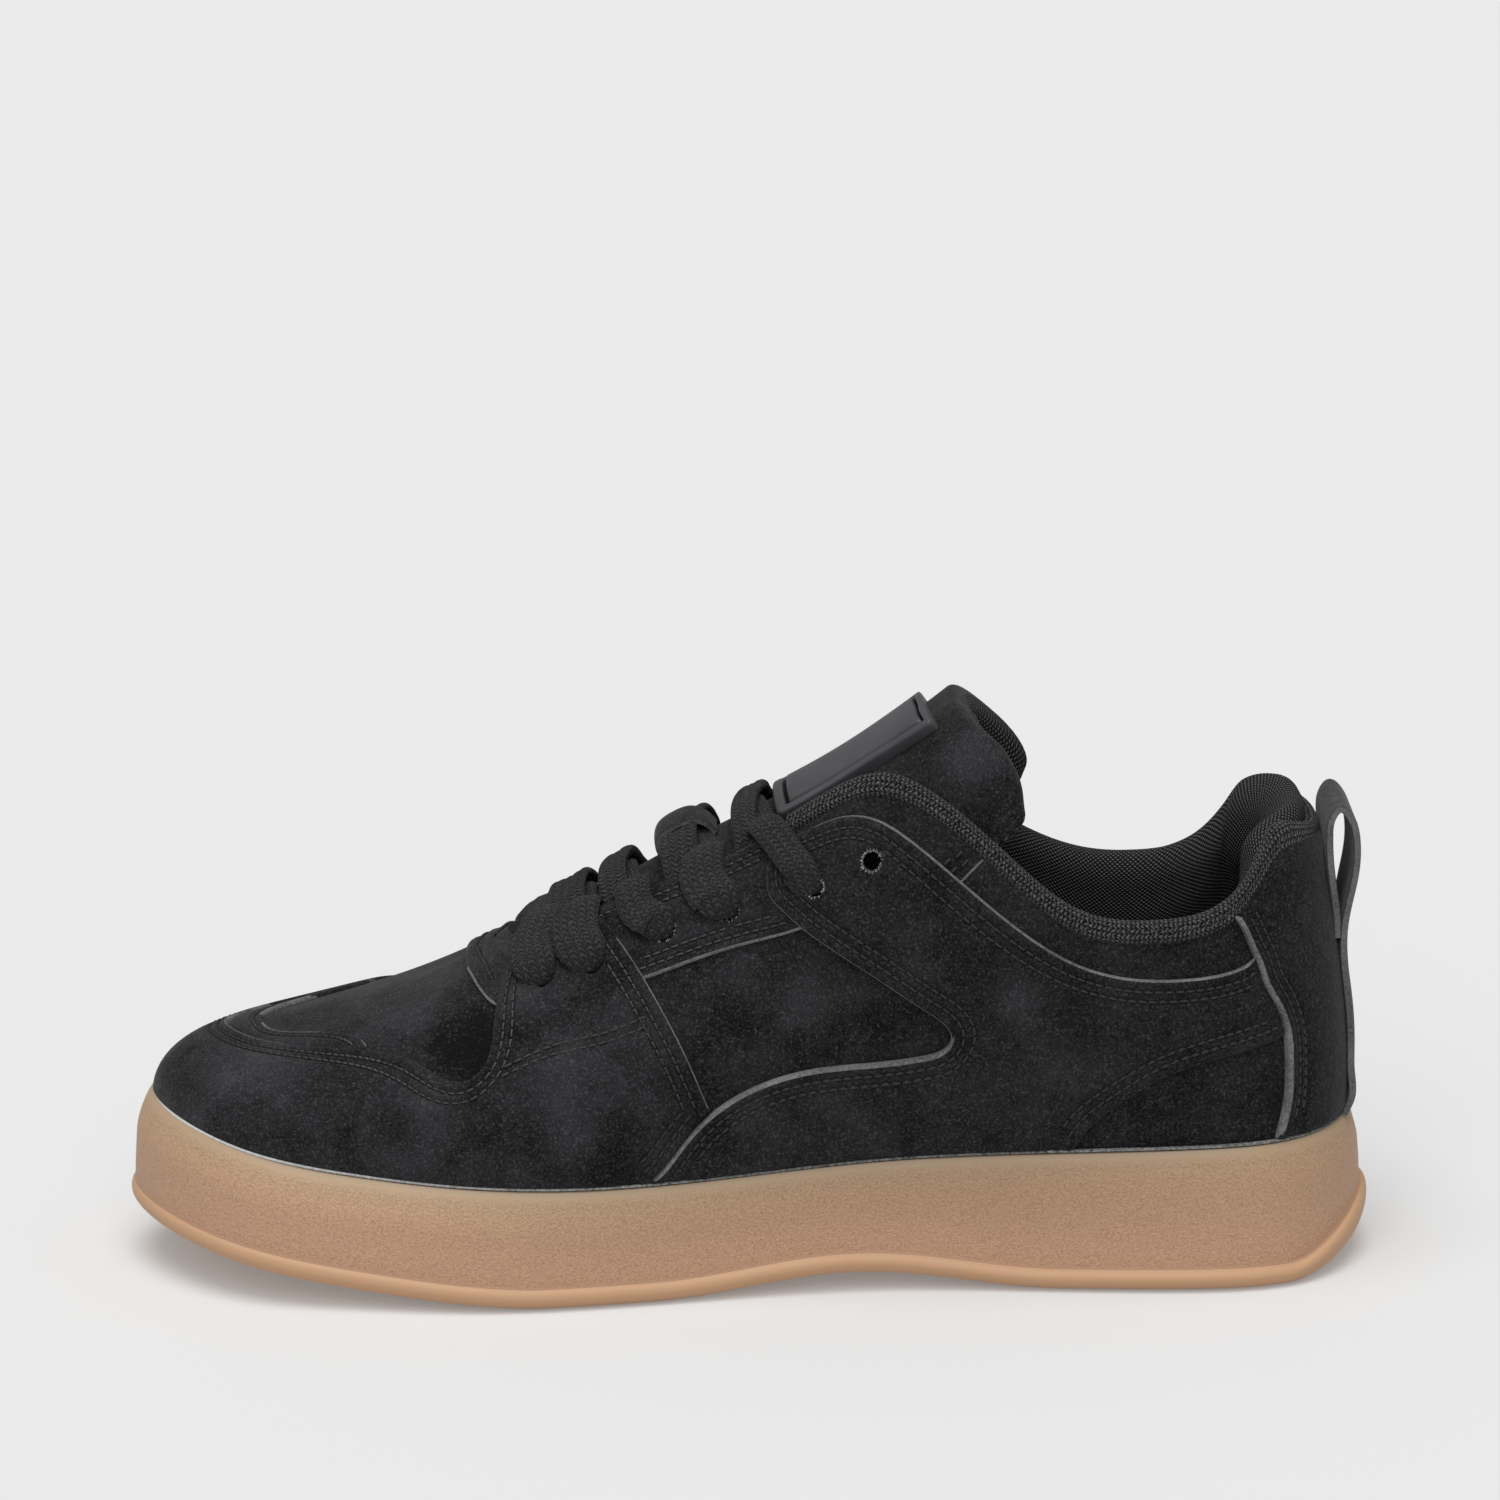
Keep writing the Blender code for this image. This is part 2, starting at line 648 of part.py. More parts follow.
TAB_FRONT = (
    (13.32, 0.69), (13.55, 0.722), (14.09, 0.804), (15.2, 0.872), (16.35, 0.908), (17.0, 0.915),
    (17.65, 0.908), (18.8, 0.872), (19.91, 0.804), (20.45, 0.722), (20.68, 0.69),
)
TAB_SIDE = ((13.5, EDGE_HIGH), (13.41, 0.786), (13.32, 0.69))
STAY_LOW = ((11.3, 0.647), (10.82, 0.661), (10.15, 0.66), (9.5, 0.652))
STAY_REAR = ((9.5, 0.652), (9.86, 0.73), (10.06, 0.784), (10.13, 0.851), (10.18, EDGE_HIGH))
STAY_FRONT = ((12.28, EDGE_HIGH), (11.92, 0.854), (11.3, 0.647))
QUARTER_FRONT = (
    (10.08, 0.955), (10.05, 0.851), (9.97, 0.784), (9.75, 0.726), (9.36, 0.649), (8.65, 0.547),
    (8.03, 0.479), (7.5, 0.431), (7.2, 0.403), (7.1, 0.368), (7.19, 0.328), (7.45, 0.298),
    (8.19, 0.271), (8.82, 0.272), (9.29, 0.271), (9.73, 0.258), (10.05, 0.236), (10.28, 0.2),
    (10.57, 0.133), (10.79, 0.06), (10.95, EDGE_LOW),
)
QUARTER_REAR = ((5.68, EDGE_LOW), (5.5, 0.112), (5.2, 0.208), (4.65, 0.308), (3.63, 0.361), (2.14, 0.345))
QUARTER_BACK = ((2.14, 0.345), (2.42, 0.475), (2.69, 0.565), (2.9, 0.67), (3.0, 0.698))
QUARTER_TOP = (
    (3.0, 0.698), (3.49, 0.714), (4.13, 0.739), (4.81, 0.759), (5.8, 0.803), (6.58, 0.821),
    (7.39, 0.849), (7.86, 0.873), (8.19, 0.893), (8.6, 0.912), (9.23, 0.925), (9.7, 0.93), (10.08, 0.955),
)
COUNTER_FRONT = (
    (3.2, 0.86), (2.97, 0.75), (2.8, 0.676), (2.59, 0.565), (2.32, 0.475), (2.02, 0.353), (1.97, 0.243),
    (1.98, 0.138), (2.2, EDGE_LOW),
)
COUNTER_TOP = ((3.2, 0.86), (2.46, 0.885), (1.8, 0.91), (0.9, 0.925), (0.0, 0.93))


def mirrored(run):
    """The same run on the other side of the shoe, in the opposite order."""
    return tuple((2 * LAST - station, share) for station, share in reversed(run))


def through_heel(run):
    """A run on the other side of the heel, in the opposite order."""
    return tuple((-station, share) for station, share in reversed(run))


def level(start, end, share):
    """A run along one share of the way up, about a point for each half section."""
    count = max(2, round(2 * abs(end - start)) + 1)
    return tuple((station, share) for station in np.linspace(start, end, count))


RISE_PLACES = np.linspace(0, GIRTH, 181)
RISES = rise(RISE_PLACES)


def to_chart(spots):
    """Section numbers and shares to flat lengths: round the shoe, up the section."""
    spots = np.asarray(spots, float)
    where = place(spots[:, 0])
    return np.column_stack([where, spots[:, 1] * np.interp(where % GIRTH, RISE_PLACES, RISES)])


def from_chart(flat):
    return flat[:, 0], flat[:, 1] / np.interp(flat[:, 0] % GIRTH, RISE_PLACES, RISES)


def smooth_run(run, step):
    """Evenly spaced chart points along a smooth curve through a run, without its last point."""
    corners = to_chart(run)
    lengths = np.append(0.0, np.cumsum(np.linalg.norm(np.diff(corners, axis=0), axis=1)))
    count = max(1, round(lengths[-1] / step))
    return spline(lengths, corners)(np.arange(count) * lengths[-1] / count)


def build_overlay(name, runs, thick, holes=(), step=OVERLAY_STEP):
    """A panel of constant thickness lying on the upper's outer face."""
    border = np.vstack([smooth_run(run, step) for run in runs])
    turns = np.arange(PIN_SIDES) * math.tau / PIN_SIDES
    circle = (EYELET_RADIUS + 0.0002) * np.column_stack([np.cos(turns), np.sin(turns)])
    rounds = [to_chart([hole])[0] + circle for hole in holes]
    added, cells = fill(border, 1.5 * step, rounds)
    flat = np.vstack([border, *rounds, added])
    where, share = from_chart(flat)
    low = skin(where, share, OVERLAY_LIFT)
    high = skin(where, share, OVERLAY_LIFT + thick)
    count = len(flat)
    faces = [tuple(spot + count for spot in cell) for cell in cells]
    faces += [tuple(reversed(cell)) for cell in cells]
    base = 0
    for loop in (border, *rounds):
        for spot in range(len(loop)):
            after = base + (spot + 1) % len(loop)
            faces.append((base + spot, after, after + count, base + spot + count))
        base += len(loop)
    return solid(name, np.vstack([low, high]), faces, "nubuck")


def build_overlays():
    spots = [(eyelet.station, eyelet.share) for eyelet in EYELETS]
    far = 2 * LAST
    guard = (
        GUARD_REAR,
        GUARD_STAY,
        level(12.38, 13.45, EDGE_HIGH),
        GUARD_FRONT,
        level(far - 13.45, far - 12.38, EDGE_HIGH),
        mirrored(GUARD_STAY),
        mirrored(GUARD_REAR),
        level(far - 11.05, 11.05, EDGE_LOW),
    )
    build_overlay("toe_guard", guard, OVERLAY_THICK, spots[:2] + list(mirrored(spots[:2])))
    inlay = (
        INLAY_INNER,
        (INLAY_INNER[-1], INLAY_OUTER[0]),
        INLAY_OUTER,
        (INLAY_OUTER[-1], INLAY_INNER[0]),
    )
    build_overlay("toe_inlay", inlay, INLAY_THICK)
    tab = (TAB_SIDE, TAB_FRONT, mirrored(TAB_SIDE), level(far - 13.5, 13.5, EDGE_HIGH))
    build_overlay("throat_tab", tab, TAB_THICK)
    stay = (STAY_LOW, STAY_REAR, level(10.18, 12.28, EDGE_HIGH), STAY_FRONT)
    quarter = (QUARTER_FRONT, level(10.95, 5.68, EDGE_LOW), QUARTER_REAR, QUARTER_BACK, QUARTER_TOP)
    for side, turned, order in (("medial", tuple, 1), ("lateral", mirrored, -1)):
        runs = [turned(run) for run in stay][::order]
        build_overlay(f"eyestay_{side}", runs, OVERLAY_THICK, turned(spots[2:4]))
        runs = [turned(run) for run in quarter][::order]
        build_overlay(f"quarter_{side}", runs, QUARTER_THICK, turned(spots[4:]))
    half = (COUNTER_FRONT[::-1], COUNTER_TOP)
    other = [through_heel(run) for run in half][::-1]
    counter = (*half, *other, level(-2.2, 2.2, EDGE_LOW))
    build_overlay("heel_counter", counter, OVERLAY_THICK, step=COUNTER_STEP)


def collar_places(count):
    """Places from the lateral eyestay round the heel to the medial eyestay."""
    return place(np.linspace(-COLLAR_END, COLLAR_END, count))


def edge_frame(where):
    """Opening edge points with their outward and upward directions."""
    edge = skin(where, 1.0)
    out = skin(where, 1.0, 0.001) - edge
    upward = edge - skin(where, 0.97)
    return (
        edge,
        out / np.linalg.norm(out, axis=1)[:, None],
        upward / np.linalg.norm(upward, axis=1)[:, None],
    )


def build_tape():
    """Knitted binding: a flattened tube along the collar's edge."""
    where = collar_places(44)
    edge, out, upward = edge_frame(where)
    middle = edge - 0.5 * WALL * out
    rings = []
    for turn in np.arange(TAPE_SIDES) * math.tau / TAPE_SIDES:
        across = TAPE_REACH * math.cos(turn)
        height = (TAPE_RADIUS - GAP) * math.sin(turn)
        rings.append(middle + across * out + height * upward)
    points = np.stack(rings, axis=1).reshape(-1, 3)
    sections = [range(TAPE_SIDES)] * len(where)
    faces = bridge(sections) + end_faces(points, TAPE_SIDES)
    return solid("collar_tape", points, faces, "knit_tape")


def build_lining():
    """Padded collar lining, thick round the heel and thin toward the eyestays."""
    stations = np.linspace(-COLLAR_END, COLLAR_END, 42)
    where = place(stations)
    puff = np.clip((COLLAR_END - np.abs(stations)) / 4.6, 0.12, 1.0)
    edge, out, upward = edge_frame(where)
    rows = []
    for pad in PAD:
        height = pad.height + pad.lift * puff
        depth = pad.depth + pad.puff * puff
        share = 1 + np.minimum(height, 0.0) / rise(where)
        rows.append(skin(where, share, -depth) + np.maximum(height, 0.0)[:, None] * upward)
    points = np.stack(rows, axis=1).reshape(-1, 3)
    count = len(PAD)
    faces = bridge([range(count)] * len(where)) + end_faces(points, count)
    return solid("collar_lining", points, faces, "mesh_lining")


TONGUE_LINE = spline(
    np.linspace(0, 1, len(TONGUE)),
    [
        (
            LENGTH * (0.5 - row.along / 100),
            row.aside * BALL_WIDTH / 200,
            row.up * HEEL_HEIGHT / 100,
            row.half_width * BALL_WIDTH / 200,
            row.drop * HEEL_HEIGHT / 100,
            row.thick,
        )
        for row in TONGUE
    ],
)


def tongue_face(along, across, lift=0.0):
    """Points of the tongue's front face: share from front to top, share from medial to lateral edge."""
    along = np.atleast_1d(np.asarray(along, float))
    across = np.broadcast_to(np.asarray(across, float), along.shape)
    row = TONGUE_LINE(along)
    run = TONGUE_LINE(np.minimum(along + 0.01, 1)) - TONGUE_LINE(np.maximum(along - 0.01, 0))
    length = np.hypot(run[:, 0], run[:, 2])
    down = np.column_stack([run[:, 2], np.zeros(len(run)), -run[:, 0]]) / length[:, None]
    bend = 2 * np.arctan2(row[:, 4], row[:, 3])
    radius = row[:, 3] / np.sin(bend)
    reach = radius + lift
    aside = reach * np.sin(across * bend)
    sink = radius - reach * np.cos(across * bend)
    level_line = np.zeros(len(row))
    return row[:, :3] + np.column_stack([level_line, aside, level_line]) + sink[:, None] * down


def build_tongue():
    """A padded plate bent round the instep, thin at its edges."""
    across = np.linspace(-1, 1, 11)
    rings = []
    for along in np.linspace(0, 1, 12):
        thick = TONGUE_LINE(along)[0, 5] * (1 - 0.7 * np.abs(across) ** 4)
        front = tongue_face(np.full(11, along), across)
        back = tongue_face(np.full(11, along), across, -thick)
        rings.append(np.vstack([front, back[::-1]]))
    count = len(rings[0])
    points = np.vstack(rings)
    faces = bridge(rings) + end_faces(points, count)
    return solid("tongue", points, faces, "nubuck")


def half_arc(along):
    """Length of the tongue's face from its middle to its edge."""
    row = TONGUE_LINE(along)
    bend = 2 * np.arctan2(row[:, 4], row[:, 3])
    return row[:, 3] / np.sin(bend) * bend


def build_on_tongue(name, along, lifts, half_width, thick, slot, columns):
    """A strip over the tongue's face: shares along it, lift at each of them, half width round the face."""
    rings = []
    for spot, lift in zip(along, lifts):
        across = np.linspace(-1, 1, columns) * half_width / half_arc(spot)
        places = np.full(columns, spot)
        front = tongue_face(places, across, lift + thick)
        back = tongue_face(places, across, lift)
        rings.append(np.vstack([front, back[::-1]]))
    count = len(rings[0])
    points = np.vstack(rings)
    faces = bridge(rings) + end_faces(points, count)
    return solid(name, points, faces, slot)


def build_patch():
    """A moulded rubber patch near the tongue's top."""
    along = np.linspace(*PATCH_ALONG, 6)
    lifts = np.full(6, GAP)
    return build_on_tongue("tongue_patch", along, lifts, PATCH_HALF_WIDTH, PATCH_THICK, "patch_rubber", 7)


def build_strap():
    """Webbing that lies up the heel, stands off as a pull loop and is tucked back behind itself."""
    across = np.linspace(-1, 1, 5)
    lie = OVERLAY_LIFT + OVERLAY_THICK + GAP + STRAP_THICK / 2
    rows = []
    for share in (0.02, 0.12, 0.24, 0.36, 0.46):
        spread = across * STRAP_WIDTH / 2 / (1 - 0.36 * share)
        row = skin(spread, share, lie)
        row[:, 1] = across * STRAP_WIDTH / 2
        rows.append(row)
    for free in PULL:
        row = np.zeros((5, 3))
        row[:, 0] = LENGTH * (0.5 - free.along / 100)
        row[:, 1] = across * STRAP_WIDTH / 2
        row[:, 2] = free.up * HEEL_HEIGHT / 100
        rows.append(row)
    path = np.array(rows)
    run = np.gradient(path, axis=0)
    face = np.cross(run, (0.0, 1.0, 0.0))
    face /= np.linalg.norm(face, axis=2)[:, :, None]
    half = face * STRAP_THICK / 2
    rings = [np.vstack([row + side, (row - side)[::-1]]) for row, side in zip(path, half)]
    points = np.vstack(rings)
    faces = bridge(rings) + end_faces(points, 2 * len(across))
    return solid("heel_loop", points, faces, "lace_weave")


LACE_LIE = OVERLAY_LIFT + QUARTER_THICK + 2 * GAP + LACE_THICK / 2


def eyelet_at(row, side):
    """Place and share of an eyelet row, also between rows and one row in front of the first."""
    rows = np.arange(-1, len(EYELETS))
    ahead = 2 * EYELETS[0].station - EYELETS[1].station
    station = np.interp(row, rows, [ahead] + [eyelet.station for eyelet in EYELETS])
    share = np.interp(row, rows, [EYELETS[0].share] + [eyelet.share for eyelet in EYELETS])
    return place(station if side < 0 else 2 * LAST - station), share


def tongue_share(x):
    """Share along the tongue of a place along the shoe."""
    shares = np.linspace(0, 1, 101)
    return np.interp(x, TONGUE_LINE(shares)[:, 0], shares)


def lace_over_stay(row, side):
    """From just above an eyelet up over the edge of the throat, leaning toward the toe."""
    lean = LACES[row].lean
    start, low = eyelet_at(row, side)
    middle, share = eyelet_at(row - 0.5 * lean, side)
    edge, _ = eyelet_at(row - lean, side)
    return [
        skin(start, low + 0.02, LACE_LIE)[0],
        skin(middle, 0.5 * (share + 1), LACE_LIE + 0.0006)[0],
        skin(edge, 1.0, LACE_LIE + 0.0014)[0],
    ]


def build_strip(name, guide):
    """A flat woven strip swept along a smooth path over the throat."""
    guide = np.array(guide)
    lengths = np.append(0.0, np.cumsum(np.linalg.norm(np.diff(guide, axis=0), axis=1)))
    path = spline(lengths, guide)(np.linspace(0, lengths[-1], 10))
    run = np.gradient(path, axis=0)
    run /= np.linalg.norm(run, axis=1)[:, None]
    shares = tongue_share(path[:, 0])
    ahead = TONGUE_LINE(np.minimum(shares + 0.02, 1))[:, :3]
    behind = TONGUE_LINE(np.maximum(shares - 0.02, 0))[:, :3]
    wide = ahead - behind
    wide -= (wide * run).sum(axis=1)[:, None] * run
    wide /= np.linalg.norm(wide, axis=1)[:, None]
    face = np.cross(run, wide)
    half_wide = wide * LACE_WIDTH / 2
    half_thick = face * LACE_THICK / 2
    corners = [path + a * half_wide + b * half_thick for a, b in ((-1, -1), (1, -1), (1, 1), (-1, 1))]
    points = np.stack(corners, axis=1).reshape(-1, 3)
    faces = bridge([range(4)] * len(path)) + end_faces(points, 4)
    return solid(name, points, faces, "lace_weave")


def build_laces():
    """A straight bar at the front, then crossings that come from under the far edge to the next eyelets."""
    near = lace_over_stay(0, -1)
    far = lace_over_stay(0, 1)
    share = tongue_share(0.5 * (near[2][0] + far[2][0]))
    build_strip(LACES[0].name, near + [tongue_face(share, 0.0, LACES[0].rise)[0]] + far[::-1])
    for row, lace in enumerate(LACES[1:], 1):
        strips = []
        for side in (-1, 1):
            guide = lace_over_stay(row, side)
            start = skin(eyelet_at(row - LACE_START, -side)[0], 1.0)[0]
            middle = tongue_share(0.5 * (guide[2][0] + start[0]))
            over = lace.rise + (LACE_OVERLAP if side > 0 else 0.0)
            guide.append(tongue_face(middle, 0.0, over)[0])
            guide.append(tongue_face(tongue_share(start[0]), -side * 0.55, 0.0036)[0])
            strips.append(build_strip(lace.name + ("" if side < 0 else "_over"), guide))
        strips[1].hide_render = True
        strips[1].display_type = "WIRE"
        joined = strips[0].modifiers.new("crossing", "BOOLEAN")
        joined.operation = "UNION"
        joined.object = strips[1]


def build_keeper():
    """A short strap along the tongue that arches over the crossing of one lace."""
    along = [tongue_share(row.x) for row in KEEPER]
    lifts = [row.rise for row in KEEPER]
    return build_on_tongue("lace_keeper", along, lifts, KEEPER_HALF_WIDTH, KEEPER_THICK, "nubuck", 4)


build_cupsole()
build_insole()
build_upper()
build_overlays()
build_tape()
build_lining()
build_tongue()
build_patch()
build_strap()
build_laces()
build_keeper()
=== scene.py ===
"""Looks of the low-cut right sneaker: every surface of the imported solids, remade with its finish.

Metres, +Z up, in the frame of the solids. The toe points along -X, the inner (medial) side lies along -Y.
"""

import collections
import math

import bmesh
import bpy
import numpy as np
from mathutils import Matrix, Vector
from mathutils.geometry import delaunay_2d_cdt


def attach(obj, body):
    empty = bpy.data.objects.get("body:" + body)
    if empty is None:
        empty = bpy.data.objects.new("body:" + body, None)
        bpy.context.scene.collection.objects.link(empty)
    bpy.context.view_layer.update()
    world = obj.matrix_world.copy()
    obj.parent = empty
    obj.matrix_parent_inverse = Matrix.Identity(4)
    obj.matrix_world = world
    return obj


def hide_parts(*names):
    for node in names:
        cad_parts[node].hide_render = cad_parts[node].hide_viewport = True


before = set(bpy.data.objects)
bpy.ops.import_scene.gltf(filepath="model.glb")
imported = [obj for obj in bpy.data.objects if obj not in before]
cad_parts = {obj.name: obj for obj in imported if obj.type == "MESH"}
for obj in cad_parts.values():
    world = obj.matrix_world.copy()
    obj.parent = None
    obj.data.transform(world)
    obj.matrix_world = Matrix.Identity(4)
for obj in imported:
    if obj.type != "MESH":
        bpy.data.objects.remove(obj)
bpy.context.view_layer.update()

# Driving sizes of the last, as in the solids
LENGTH = 0.290
BALL_WIDTH = 0.1056
HEEL_HEIGHT = 0.1045
WALL = 0.0022
GAP = 0.0003

# Cup sole: heights in metres, starts and ends as shares of LENGTH from the heel's back
TOE_SPRING = 0.0128
SPRING_START = 0.67
SPRING_POWER = 1.35
ARCH_LIFT = 0.0040
ARCH_START = 0.25
ARCH_END = 0.58
HEEL_BEVEL = 0.0062
BEVEL_START = 0.065
BEVEL_POWER = 1.5
LIP_HEIGHT = 0.0052
LIP_HEEL_RISE = 0.0058
LIP_STEP_HEEL = 0.0030
LIP_STEP_TOE = 0.0012
LIP_FOOT = 0.0050
STEP_SOFT = 0.55
LIP_WIDEST = 0.62
FOOT_RINGS = 10
STEP_RINGS = 8
STEP_TURN = 72
CUP_DEPTH = 0.0115
UPPER_INSET = 0.0070
INSOLE_THICK = 0.0045
DISH_DEPTH = 0.0012
DISH_REACH = 0.012
TREAD_DEPTH = 0.0009
TREAD_PITCH = 0.0085
TREAD_MARGIN = 0.010
TREAD_SWAY = 0.004
TREAD_WAVE = 0.030

# Panels, their edges and seams: metres, shares of a panel's thickness, section numbers of the collar's ends
PANEL_FOOT = 0.00005
EDGE_ROUND = 0.0009
EDGE_FOOT = 0.62
EYELET_RADIUS = 0.0025
SEAM_OFFSETS = (0.0028, 0.0052)
COUNTER_OFFSETS = (0.0036, 0.0057)
SEAM_DEPTH = 0.00060
SEAM_HALF = 0.0008
TUCK_REACH = 0.0050
TUCK_FOOT = 0.35
LEAST_LIFT = 0.0003
STITCH_PITCH = 0.0024
STITCH_LENGTH = 0.0020
THREAD_RADIUS = 0.00042
COLLAR_END = 9.6
TAPE_END = 9.9
TAPE_HALF_HEIGHT = 0.0028
TAPE_REACH = 0.0021
TAPE_DROP = 0.0012
KNIT_PITCH = 0.0011
KNIT_COLUMN = 0.0012

# Tongue patch and keeper: metres, and shares of the tongue's length
PATCH_ALONG = (0.615, 0.868)
PATCH_HALF_WIDTH = 0.0149
PATCH_THICK = 0.0031
PATCH_SKEW = 0.010
KEEPER_HALF_WIDTH = 0.0052
KEEPER_THICK = 0.0013

# Heel strap and laces: metres, and shares of what they belong to
STRAP_WIDTH = 0.024
STRAP_THICK = 0.0018
STRAP_LIE = 0.0023
STRAP_FLAT = 0.7
LACE_THICK = 0.0028
LACE_HOLE_WIDTH = 0.0056
LACE_TUCK = 0.0030
LACE_SHIFT = 0.26
FAR_STRAND = 0.80
LACE_LIE = 0.0030
LACE_START = 1.05
LACE_COLUMN = 0.0022
LACE_LOOP = 0.0013

# Mesh density: points round the shoe, steps in metres, sides of a round hole
AROUND = 600
UPPER_ROWS = 46
BORDER_STEP = 0.0013
PANEL_STEP = 0.0023
SEAM_STEP = 0.0006
TUCK_STEP = 0.0010
COARSE_STEP = 0.008
ROUND_SIDES = 24
WELD = 3e-6
# Spots that are measured against a line at one time
CHUNK = 1500

# Camera: metres to the aim point, that point, angles in degrees, lens and sensor in millimetres. Half the
# floor's side in metres.
CAMERA_DISTANCE = 2.0
CAMERA_AIM = (0.0, 0.0, 0.1199)
CAMERA_AZIMUTH = -0.6
CAMERA_ELEVATION = 16.0
CAMERA_LENS = 206.98
CAMERA_SENSOR = 36
FLOOR_REACH = 12.0


def named_rows(names, *rows):
    """A table's rows, with a name for each column."""
    row_type = collections.namedtuple("Row", names)
    return [row_type(*row) for row in rows]


# One row for each section of the last, heel to toe. Along: percent of LENGTH from the heel's back.
# Medial and lateral: percent of half the ball width. Up, down and out: percent of HEEL_HEIGHT.
SECTIONS = named_rows(
    "name foot_along foot_medial foot_lateral top_along top_medial top_lateral top_up lateral_down"
    " low_up low_out top_out top_down",
    ("heel_back", 0.0, 0.0, 0.0, 4.9, 0.0, 0.0, 100.4, 0.0, 26.4, 1.4, 3.3, 23.6),
    ("heel_turn", 2.8, 48.3, 48.3, 6.5, 30.4, 30.4, 101.6, 0.3, 26.4, 1.7, 3.8, 22.6),
    ("heel_corner", 6.6, 66.3, 66.3, 8.8, 46.0, 46.0, 99.4, 0.8, 25.5, 2.1, 4.2, 20.8),
    ("collar_drop", 10.3, 73.1, 73.5, 10.7, 54.0, 54.0, 90.9, -2.8, 22.6, 2.4, 4.2, 17.9),
    ("collar_back", 14.5, 75.4, 76.5, 13.8, 60.2, 60.2, 84.8, 0.2, 20.8, 2.6, 3.8, 16.0),
    ("collar_low", 19.3, 75.4, 78.6, 18.6, 64.4, 65.3, 83.3, 2.6, 19.8, 2.8, 3.8, 16.0),
    ("collar_rise", 26.9, 73.5, 81.4, 25.5, 66.3, 68.2, 88.3, 4.6, 21.7, 3.3, 4.2, 17.9),
    ("ankle", 33.8, 72.0, 83.3, 32.4, 64.0, 66.3, 105.2, 9.8, 26.4, 4.2, 5.7, 24.5),
    ("eyestay_top", 39.3, 72.3, 85.2, 38.3, 57.8, 60.6, 115.6, 9.0, 29.2, 4.7, 7.5, 28.3),
    ("eyelet_six", 44.8, 75.4, 88.1, 42.8, 51.1, 54.0, 113.2, 8.0, 28.3, 4.2, 9.4, 25.5),
    ("eyelet_five", 51.0, 81.4, 92.8, 47.6, 43.6, 45.5, 104.2, 7.8, 26.4, 3.8, 11.8, 20.8),
    ("eyelet_four", 57.6, 89.0, 97.5, 53.8, 37.9, 37.9, 94.3, 7.2, 23.6, 3.3, 13.2, 16.0),
    ("eyelet_two", 64.8, 96.6, 100.0, 60.0, 35.0, 32.2, 86.3, 6.6, 20.8, 2.8, 14.6, 12.3),
    ("eyelet_one", 72.4, 99.6, 97.5, 65.5, 30.3, 24.6, 79.7, 5.2, 18.9, 2.4, 17.0, 10.8),
    ("ball_front", 81.4, 94.7, 87.1, 68.3, 23.7, 15.2, 75.9, 2.6, 18.6, 1.4, 22.6, 14.6),
    ("toe_side", 89.3, 85.2, 70.1, 69.1, 16.1, 5.7, 74.8, 1.0, 19.5, 0.5, 28.3, 20.0),
    ("toe_turn", 96.2, 56.8, 40.7, 69.5, 9.5, -0.9, 74.3, 0.5, 20.4, -0.5, 31.1, 23.8),
    ("toe_tip", 100.0, 9.5, -9.5, 69.6, 4.7, -4.7, 74.2, 0.0, 21.0, -0.9, 31.1, 25.0),
)
LAST = len(SECTIONS) - 1

# Height of the cup's rim: percent of LENGTH from the heel, percent of HEEL_HEIGHT
RIM = named_rows(
    "along height",
    (0.0, 32.8),
    (9.0, 32.3),
    (20.0, 31.4),
    (40.0, 28.8),
    (58.0, 26.0),
    (72.0, 27.2),
    (85.0, 30.6),
    (94.0, 34.8),
    (100.0, 38.4),
)

# Eyelets from the toe up, on the medial side: section number, share of the way up
EYELETS = named_rows(
    "station share",
    (12.71, 0.735),
    (12.11, 0.740),
    (11.27, 0.785),
    (10.47, 0.780),
    (9.25, 0.755),
    (8.35, 0.795),
)

# Cross-section of the padded lining: metres behind the outer face, more where it is puffed,
# metres above the opening edge, more where it is puffed
PAD = named_rows(
    "depth puff height lift",
    (0.0026, 0.0, -0.0045, 0.0),
    (0.0026, 0.0, -0.012, 0.0),
    (0.0026, 0.0, -0.020, 0.0),
    (0.0026, 0.0, -0.028, 0.0),
    (0.0027, 0.0, -0.034, 0.0),
    (0.0038, 0.0008, -0.0355, 0.0),
    (0.0034, 0.0056, -0.026, 0.0),
    (0.0036, 0.0082, -0.015, 0.0),
    (0.0042, 0.0078, -0.006, 0.0),
    (0.0048, 0.0056, 0.0002, 0.0020),
    (0.0040, 0.0020, 0.0012, 0.0032),
    (0.0030, 0.0, -0.0006, 0.0012),
)

# Front to top. Along: percent of LENGTH. Up, drop: percent of HEEL_HEIGHT. Aside, half width: percent of
# half the ball width. Thick: metres.
TONGUE = named_rows(
    "along up aside half_width drop thick",
    (71.7, 66.0, -5.3, 36.0, 4.0, 0.0036),
    (67.9, 73.6, -4.2, 38.0, 5.8, 0.0050),
    (64.1, 79.2, -2.8, 40.0, 8.0, 0.0058),
    (60.0, 85.6, -1.5, 42.0, 10.5, 0.0062),
    (55.2, 93.0, 0.0, 44.5, 12.6, 0.0068),
    (47.2, 103.6, 1.0, 48.0, 14.6, 0.0074),
    (40.7, 113.6, 1.0, 48.5, 15.6, 0.0078),
    (35.4, 124.2, 0.5, 56.5, 20.6, 0.0086),
    (33.8, 127.8, 0.5, 60.0, 23.6, 0.0078),
)

